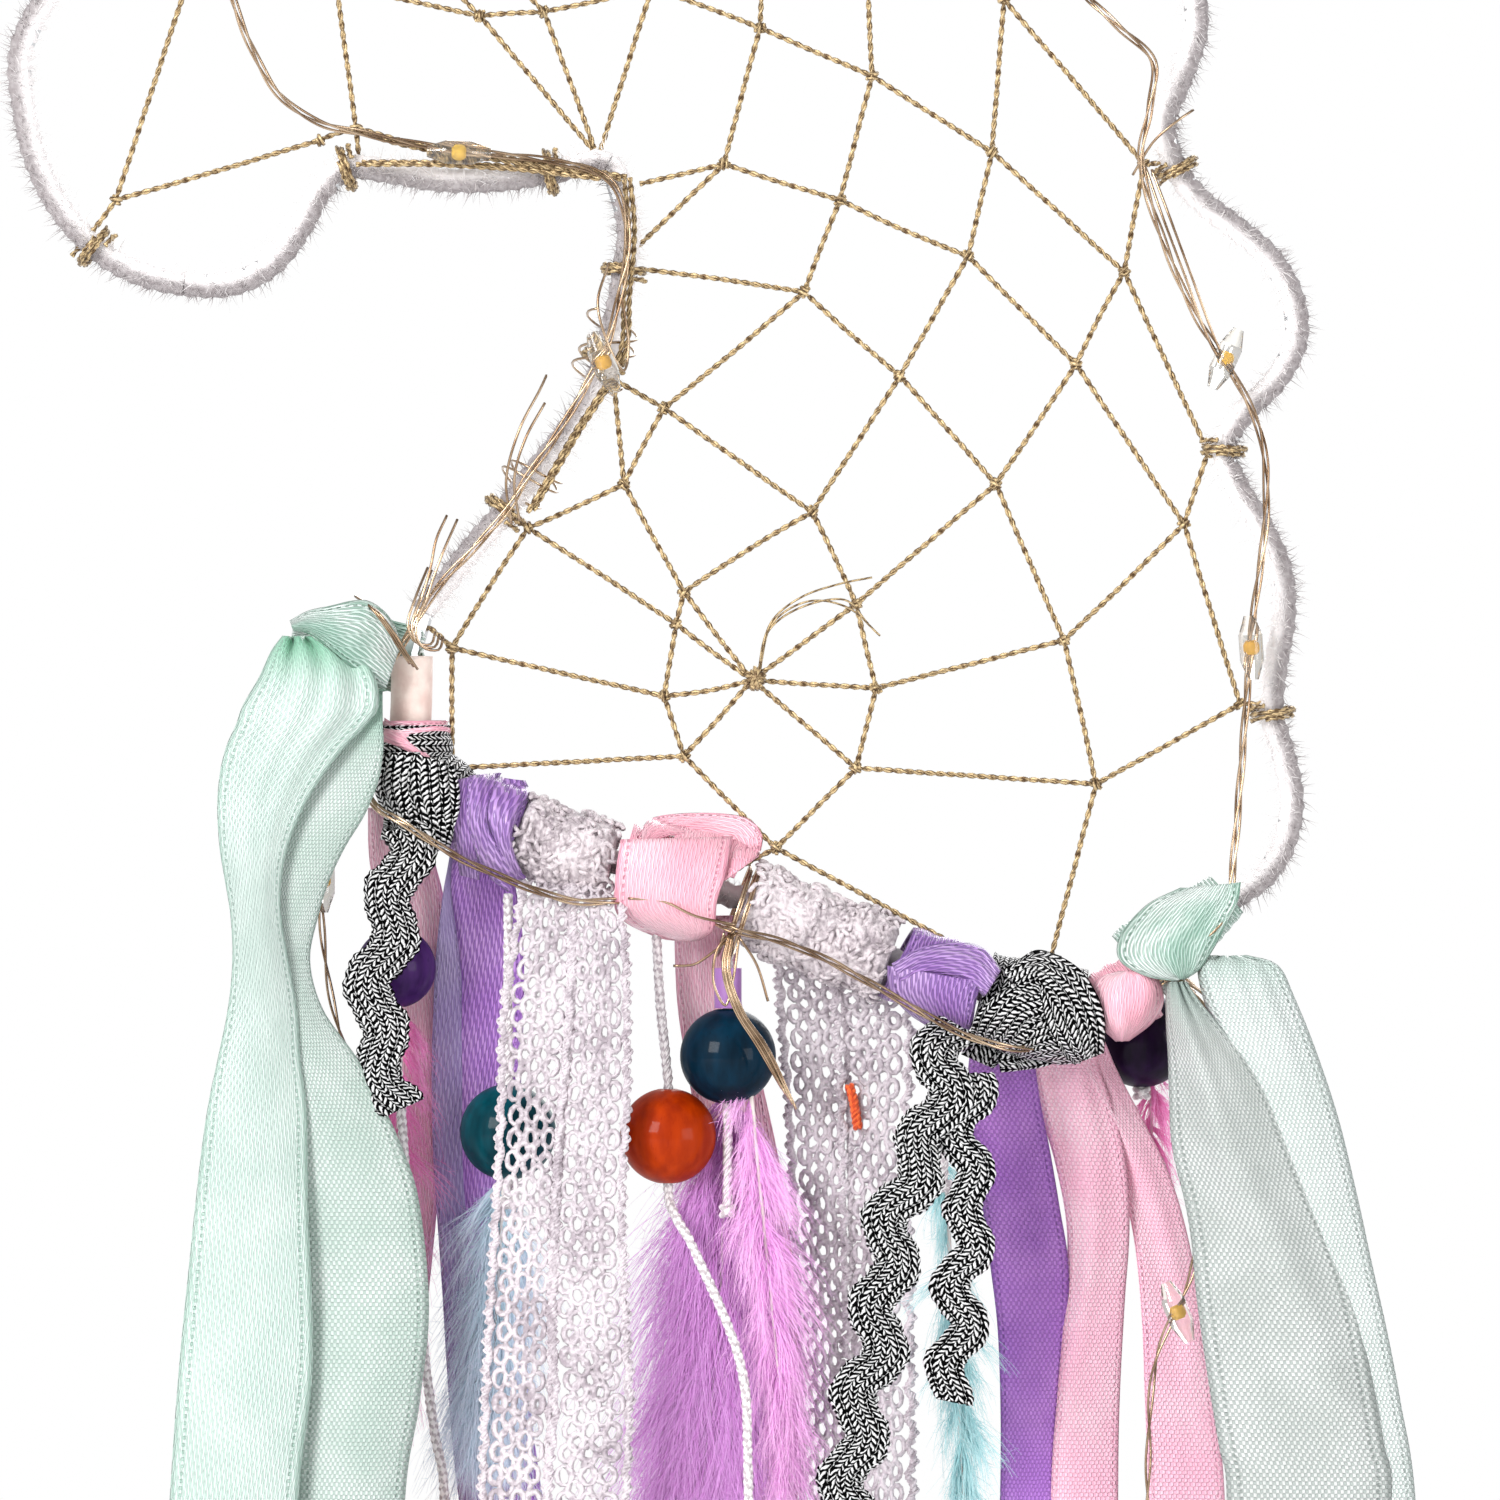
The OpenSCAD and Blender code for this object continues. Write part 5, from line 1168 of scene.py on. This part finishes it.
def patch(first, second, radius, bulge=0.5, pleats=2.0, crease=0.15, rows=30, columns=19, thickness=0.2, lift=None,
          phase=0.0):
    """A fold of ribbon between two edges drawn in the plan, laid on the front of a wrap round the bar.
    Its threads run along the edges. lift gives its own depths along the edges where it isn't on the bar."""
    a, b = evenly(first, rows), evenly(second, rows)
    t = np.linspace(0, 1, columns)[None]
    plan = a[:, None] * (1 - t[..., None]) + b[:, None] * t[..., None]
    f = np.linspace(0, 1, rows)[:, None]
    if lift is None:
        away = np.linalg.norm(plan[:, :, None] - BAR_LINE[None, None, :, [0, 2]], axis=-1).min(-1)
        depth = -np.sqrt(np.clip(radius**2 - away**2, 0.0, None))
    else:
        depth = -np.interp(f, np.linspace(0, 1, len(lift)), lift) * np.ones_like(t)
    depth = depth - bulge * np.sin(math.pi * t) ** 0.7
    depth = depth - crease * np.cos(TAU * pleats * (t + 0.06 * np.sin(5 * f)) + phase)
    return cloth(np.stack([plan[..., 0], depth, plan[..., 1]], -1), thickness)


def make_purple_knots():
    shape = wrap([
        (-35.2, dict(radius=4.7, width=4.6, lean=0.5)), (-31.6, dict(radius=4.7, width=4.6)),
        (22.4, dict(radius=4.6, width=9.0, lean=0.8, folds=2)),
    ], crease=0.2)
    # The left knot's three folds, then the right knot's front and the fold over its top
    shape.add(patch([[-37.4, -12.6], [-37.7, -16.6], [-37, -20.4], [-36.4, -24.4]],
        [[-34.4, -12], [-34.9, -16.4], [-34.2, -19.6], [-34.2, -25]], 5.3, 0.6, 1, 0.1))
    shape.add(patch([[-35.2, -12], [-35.6, -16], [-34.9, -19.6], [-33, -24.2], [-30.4, -26.4]],
        [[-31.4, -11.6], [-32.6, -14.6], [-33, -18], [-31, -21.6], [-28.2, -24.6]], 5.6, 1.0, 2, 0.16))
    shape.add(patch([[-32.6, -12], [-33.2, -15], [-32.9, -18], [-31.2, -22], [-29.4, -25.8]],
        [[-28.4, -12.6], [-28, -14.2], [-29.4, -17], [-30, -20.4], [-28.6, -24.6]], 5.5, 0.9, 2, 0.18, phase=2.0))
    shape.add(patch([[16.9, -35.6], [17.2, -38.6], [19.4, -41.4], [22, -43.2]],
        [[28.4, -37.6], [27.8, -40.4], [27.4, -43], [26.6, -44]], 5.9, 0.9, 1.2, 0.16))
    shape.add(patch([[17.4, -35.4], [20.4, -33.6], [24.6, -32.8], [28.6, -33.4], [31, -36.2]],
        [[18.8, -38], [21.8, -37], [24.6, -37.2], [27.2, -38], [29, -39.4]], 5.9, 0.6, 2.6, 0.24))
    shape.piece("knot_purple", "frame", PURPLE_KNOT, "purple_satin", "knots_purple")


def make_pink_knots():
    shape = wrap([
        (-10.4, dict(radius=5.0, width=12.0, crease=0.08, folds=1)),
        (-8.2, dict(radius=5.8, width=9.0, crease=0.12, lean=1.4, folds=1, turn=(20, 170), tall=1.12)),
        (46.4, dict(radius=4.2, width=6.8, crease=0.15)), (-43.4, dict(radius=4.6, width=5.0, crease=0.2)),
    ])
    # The middle knot's front and the fold over its top, then the right knot and the left one
    shape.add(patch([[-16.3, -19.9], [-17, -25.4], [-16.6, -29.4], [-12, -32], [-8, -32.6]],
        [[-2.4, -19.6], [-3.4, -24.4], [-4.4, -27.6], [-4.8, -31], [-6.6, -32.4]], 7.2, 0.9, 0.5, 0.1, columns=25))
    shape.add(patch([[-13.8, -19.6], [-12.6, -17.4], [-7, -16.7], [-1, -17.2], [1.2, -19.4], [0.8, -22]],
        [[-13.4, -20.4], [-10, -19.4], [-7, -19.6], [-4.4, -20.6], [-3.2, -21.4], [-3.4, -25]], 6.3, 0.6, 0.5, 0.1))
    shape.add(patch([[45.8, -36.4], [43.2, -37.4], [42.2, -40], [43, -42.6], [45.4, -45]],
        [[47.8, -36.2], [50.4, -37.2], [51.2, -40], [50, -42.6], [47, -45]], 5.2, 2.4, 2.3, 0.2, 36, 31, phase=0.6))
    shape.add(patch([[-45.8, -4.8], [-44, -6], [-41.8, -7.6], [-40.2, -9.6]],
        [[-46, -9], [-44, -9.6], [-42, -10], [-40.6, -10.6]], 4.6, 0.8, 2, 0.16))
    shape.piece("knot_pink", "frame", PINK_KNOT, "pink_satin", "knots_pink")


def make_mint_knots():
    shape = Shape()
    # The right wrap: a cone of turns up the end of the mane
    for k in range(8):
        f = k / 7
        centre = [49.6 + 8.6 * f, 0, -34.8 + 7.0 * f]
        shape.add(band(centre, [0.74, 0, 0.67], 5.0 - 2.0 * f, 3.0, crease=0.05, folds=2))
    shape.add(patch([[52.8, -37.4], [49.4, -37], [45.8, -35], [46, -32], [49.2, -28.2], [53.4, -26]],
        [[53.8, -37.2], [55.6, -36], [57.4, -33.4], [59, -30.4], [60.4, -27.6], [60.8, -25.2]],
        7.4, 0.3, 3.2, 0.14, 44, 41))
    # The left knot: a strap that fans from a pinch to the neck
    shape.add(patch([[-57.4, 7.2], [-55.2, 8.4], [-52.6, 9], [-48.2, 9.8], [-45.4, 8], [-43.7, 4.6]],
        [[-57, 6.2], [-55, 5.8], [-53, 4.4], [-50.6, 2.2], [-48.2, 0.4], [-45.6, -1.2]],
        0, 1.5, 1.5, 0.22, 40, 31, lift=[8.4, 9, 9.2, 8.6, 7.2, 5.4]))
    # The left knot's turns round the neck, and its back
    for k in range(3):
        centre = [-44.4, 0, 5.6 - 2.6 * k]
        shape.add(band(centre, [0.1, 0, 1], 3.2, 3.6, lean=0.5, crease=0.15, folds=2, turn=(70, 290)))
    shape.add(patch([[-57.4, 7], [-52.6, 8.6], [-45.4, 7.6], [-43.7, 4.6]],
        [[-58.6, 2], [-54, -0.6], [-49, -1.6], [-45.6, -1.2]],
        0, -2.4, 1.5, 0.2, columns=21, lift=[-3.4, -5, -5.4, -4.6]))
    shape.piece("knot_mint", "frame", MINT_KNOT_SHADED, "mint_satin", "knots_mint")


def make_rickrack_knots():
    bands = [(-40.2, 4.9, 6.4), (-44.0, 4.6, 4.0), (31.4, 4.6, 5.4), (37.0, 4.9, 8.4)]
    shape = wrap([(u, dict(radius=radius, width=width)) for u, radius, width in bands],
        crease=0.2, folds=1, thickness=0.7)
    braids = [
        ([[-46.2, -9.2], [-46.8, -13], [-45.6, -17], [-46, -20]],
            [[-41.6, -9], [-42.2, -13], [-41.4, -17], [-41.4, -21]], 6.0),
        ([[-42.4, -9], [-42.6, -13.4], [-41.4, -17.4], [-39.8, -21.4]],
            [[-37.6, -10.6], [-36.8, -14], [-37, -18], [-37.8, -20.6]], 6.3),
        ([[35.4, -37.6], [31.4, -38.6], [28.4, -41.4], [27.4, -45], [26.6, -47]],
            [[37, -42.4], [34.6, -43], [33.2, -45.4], [31.4, -47.2], [30, -48.4]], 6.2),
        ([[31.4, -36.4], [34, -34.8], [37.4, -34.6], [41.4, -37], [43.4, -41.8], [43.4, -46.4]],
            [[34, -39.6], [36, -38.4], [36.4, -39.6], [37.2, -43], [38.6, -46], [40.4, -47.6]], 7.0),
        ([[30.6, -46.4], [33, -44], [35.6, -42.6], [38, -43]],
            [[31, -48.6], [34.6, -48.2], [38.4, -47.6], [41, -47.4]], 6.4),
        ([[31.8, -38.6], [32.6, -36], [35.4, -34.2], [38.6, -35]],
            [[34.8, -38.4], [35, -37.4], [36, -36.8], [37.4, -37.2]], 6.0),
    ]
    for first, second, radius in braids:
        shape.add(patch(first, second, radius, 0.8, 5, 0.16, 40, 41, 0.7))
    shape.piece("knot_rickrack", "frame", RICKRACK, "metallic_rickrack", "knots_rickrack")


def crochet(shape, first, last, radius, rng):
    """A wrap of crocheted lace between two places on the bar: a soft core under many small loops of thread."""
    line = np.array([bar_frame(u)[0] for u in np.arange(first, last, 0.4)])
    line = smooth(line[::5], 0.4)
    n, sides, turn_pitch = len(line), 40, 7.0
    s = lengths(line)
    angle = ring_of(sides)[None]
    cells = np.abs(np.sin(2.3 * s[:, None] + 1.5 * np.sin(angle)) * np.sin(7 * angle + 0.8 * np.sin(s[:, None])))
    turns = 0.35 * np.sin(TAU * s[:, None] / turn_pitch + angle)
    ends = np.clip(np.minimum(s, s[-1] - s) / 1.2, 0, 1)[:, None] ** 0.5
    outer = (radius + turns + 0.45 * cells + 0.14 * rng.normal(size=(n, sides))) * (0.7 + 0.3 * ends)
    shape.add(tube(line, outer, sides))
    _, a, b = carried(line)
    for _ in range(int(s[-1] * 22)):
        i, turn = rng.integers(n), rng.random() * TAU
        out = math.cos(turn) * a[i] + math.sin(turn) * b[i]
        side = unit(np.cross(out, rng.normal(size=3)))
        arc = np.linspace(0, math.pi, 7)[:, None]
        size = 0.4 + 0.35 * rng.random()
        at = line[i] + out * (radius + 0.1 + 0.3 * math.sin(TAU * s[i] / turn_pitch + turn))
        shape.add(tube(at + size * (np.cos(arc) * side + 0.5 * np.sin(arc) * out), 0.3, 5))


def make_lace_knots():
    rng = np.random.default_rng(8)
    shape = Shape()
    crochet(shape, -29.6, -15.6, 4.7, rng)
    crochet(shape, -0.6, 19.0, 5.0, rng)
    shape.piece("knot_lace", "frame", LACE_WRAP, "white_lace", "knots_lace")


def make_bare_bar():
    """The bare stretch of the frame that shows at the left end of the bar."""
    line = smooth(stand([[-43.4, -14], [-43, -9.5], [-42.6, -3.5], [-42.5, 3]]), 0.6)
    Shape().add(tube(line, 2.6, 20)).piece("bare_frame_strip", "frame", BARE, "white_plush")


make_purple_knots()
make_pink_knots()
make_mint_knots()
make_rickrack_knots()
make_lace_knots()
make_bare_bar()
plush("bar", AT_BAR, AT_NECK - 3, 18, density=20, pile=1.2)

# --- Feathers -------------------------------------------------------------------------------------------------


def feather(colour, body, material, slot, root, tip, width, barbs, seed, bow=0.0):
    """A marabou feather: a fine quill with very fine, long soft barbs that curl and cling together in wisps."""
    rng = np.random.default_rng(seed)
    root, tip = np.array(root, float), np.array(tip, float)
    t = np.linspace(0, 1, 40)[:, None]
    quill = root + (tip - root) * t + np.array([bow, 0, 0]) * np.sin(math.pi * t)
    shape = Shape().add(tube(quill, np.linspace(0.34, 0.1, 40)), 1)
    # Barbs cling together in wisps, each with its own start, lean and curl
    wisps = max(20, barbs // 26)
    clump = rng.integers(wisps, size=barbs)
    start, lean, curl = rng.random(wisps) ** 0.8, rng.normal(size=wisps), rng.normal(size=(wisps, 3))
    side = np.where(np.arange(wisps) % 2, 1.0, -1.0)[clump][:, None]
    f = np.clip(start[clump] + rng.normal(scale=0.012, size=barbs), 0, 0.999)
    at = f * 38.99
    i, g = at.astype(int), (at % 1)[:, None]
    roots = quill[i] * (1 - g) + quill[i + 1] * g
    along = unit(quill[i + 1] - quill[i])
    out = np.cross(along, [0.0, 1.0, 0.0]) * side
    spread = (0.75 - 0.35 * f + 0.22 * lean[clump])[:, None]
    profile = np.sin(math.pi * np.clip(0.12 + 0.8 * f, 0, 1)) ** 0.6
    reach = width * 0.62 * profile * (0.75 + 0.4 * rng.random(barbs)) + 1.2
    way = unit(out * spread + along * 0.75 + np.array([0, 0.35, 0]) * rng.normal(size=(barbs, 1)))
    # Each barb's spine: it leaves the quill along way, sweeps to the tip, curls and waves
    levels = 9
    s = np.linspace(0, 1, levels)[None, :, None]
    size = reach[:, None, None]
    spine = roots[:, None] + way[:, None] * size * s + along[:, None] * size * 0.35 * s**2
    spine = spine - out[:, None] * size * 0.3 * s**2.4 + curl[clump][:, None] * size * FLUFF * 0.5 * s**1.7
    spine = spine + rng.normal(scale=0.16, size=(barbs, 1, 3)) * size * s**1.4
    phase = rng.random((barbs, 1, 1)) * 6
    spine = spine + 0.35 * np.sin(5 * s + phase) * s * np.cross(way, [0.0, 1.0, 0.0])[:, None]
    spine[..., 1] = root[1] + FEATHER_DEPTH * np.tanh((spine[..., 1] - root[1]) / FEATHER_DEPTH)
    flat = unit(np.cross(way, rng.normal(size=(barbs, 3)) * 0.5 + [0, 1.0, 0]))
    shape.add(blades(spine, flat[:, None] * 0.05 * (1 - 0.75 * s), s, rng.random(barbs)))
    # Shorter down from points of the barbs
    count = barbs * 3
    down = rng.integers(barbs, size=count)
    level = rng.integers(1, levels - 1, size=count)
    ways = unit(way[down] + rng.normal(scale=0.6, size=(count, 3)))
    shape.add(hairs(spine[down, level], ways, 0.8 + 1.0 * rng.random(count), 0.05, rng, 0.5))
    shape.piece("down_" + colour, body, [material, QUILL], slot, "feather_" + colour)


FLUFF, FEATHER_DEPTH = 0.35, 2.2  # how far barbs curl, and mm to either side of the quill in depth
feather("rose", "plum_string", ROSE, "rose_feather", [-43.6, 3.4, -42], [-47.4, 3.4, -95], 13, 2800, 31)
feather("lilac", "sea_string", SEA_BLUE, "lilac_feather", [-31, 2.8, -62], [-33, 2.8, -96], 17, 3200, 32)
feather("purple", "teal_string", VIOLET, "purple_feather", [-3.4, 2.6, -52], [-8.5, 2.6, -116], 29, 10000, 33, 1.5)
feather("blush", "teal_string", BLUSH, "rose_feather", [-0.5, -1.2, -48], [5, -1.2, -104], 11, 3000, 34)
feather("aqua", "aqua_string", AQUA, "aqua_feather", [24, 4.6, -58], [27.4, 4.6, -118], 9.5, 2200, 35)
feather("pink", "grape_string", ROSE, "rose_feather", [50, 12, -48], [50.6, 12, -63], 7.5, 900, 36)

# --- Horn and hanging ribbon ----------------------------------------------------------------------------------

HORN_BASE = np.array([-47.5, 0, 121.0])
HORN_TILT = math.radians(40)
HORN_RISE, HORN_LONG, HORN_BASE_R, HORN_TIP_R = 3.5, 56.0, 5.5, 1.6
TWINE_TURNS, TWINE_LONG = 7, HORN_LONG - 5


def horn_radius(z):
    return HORN_BASE_R + (HORN_TIP_R - HORN_BASE_R) * z / HORN_LONG


def make_horn():
    axis = np.array([-math.sin(HORN_TILT), 0, math.cos(HORN_TILT)])
    z = np.linspace(0, HORN_LONG, 150)
    line = HORN_BASE + axis * (HORN_RISE + z)[:, None]
    sides = 36
    angle = ring_of(sides)[None]
    tip = np.sqrt(np.clip((HORN_LONG - z) / 1.6, 0, 1))
    foot = 1 - 0.25 * np.exp(-z / 1.2)
    turn = (TAU * TWINE_TURNS * z / TWINE_LONG)[:, None]
    groove = 0.09 * np.exp(-((np.sin(turn / 2 - angle / 2) / 0.3) ** 2))
    radius = (horn_radius(z) * tip * foot)[:, None] * (1 - groove + 0.012 * np.sin(18 * angle + z[:, None]))
    Shape().add(tube(line, radius, sides)).piece("horn_cover", "frame", HORN, "white_plush", "horn")
    _, a, b = carried(line)
    t = np.linspace(0, 1, 420)
    rise = 1 + t * TWINE_LONG
    turn = (TAU * TWINE_TURNS * t)[:, None]
    reach = (horn_radius(rise) + 0.3)[:, None]
    wound = HORN_BASE + axis * (HORN_RISE + rise)[:, None] + reach * (np.cos(turn) * a[0] + np.sin(turn) * b[0])
    Shape().add_all(twine(wound)).piece("horn_twine", "frame", GOLD, "gold_twine", "horn_cord")


def make_hanger():
    """A loop of ribbon over the crest, with a wrap round its foot and one round the crest."""
    u, crest, foot, arc_centre, arc_radius = 6.0, 147.0, 150, 200.9, 4.9
    shape = Shape()
    shape.add(band([u, 0, crest], [1, 0, 0], 3.5, 5.0, crease=0.08, folds=2))
    shape.add(band([u, 0, crest + 4.6], [0, 0, 1], 1.9, 3.0, crease=0.15, folds=2))
    side = [[0.9, 151.5], [1.3, 154], [2.6, 170], [4.0, 188], [4.7, 198], [4.9, 201.5]]
    arc = [[arc_radius * math.cos(a), arc_centre + arc_radius * math.sin(a)] for a in np.radians([18, 40, 62, 90])]
    right = side + arc
    left = [[-p[0], p[1]] for p in reversed(right[:-1])]
    line = smooth(stand(np.array(right + left) + [u, 0]), 0.8)
    grid = np.repeat(line[:, None], 11, axis=1)
    grid[..., 1] = np.linspace(-2.5, 2.5, 11)[None] * np.clip((line[:, 2] - foot) / 12, 0.35, 1)[:, None]
    shape.add(cloth(grid, 0.2, 5.0)).piece("hanging_loop", "hanger", MINT, "mint_satin", "hanging_ribbon")


make_horn()
make_hanger()

# --- CAD nodes that keep their shape --------------------------------------------------------------------------

KEPT = {
    "bead_plum": PLUM_WOOD, "bead_amber": AMBER_WOOD, "bead_sea": SEA_WOOD, "bead_orange": ORANGE_WOOD,
    "bead_teal": TEAL_WOOD, "bead_grape": GRAPE_WOOD, "tube_bead": TUBE, "led_drops": EPOXY,
    "battery_case": CASE, "battery_cover": CASE, "switch_slider": SWITCH, "coin_cells": COIN,
    "battery_contacts": BRASS, "frame_wire": COIN,
}
for node, material in KEPT.items():
    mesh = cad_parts[node].data
    mesh.materials.clear()
    mesh.materials.append(material)
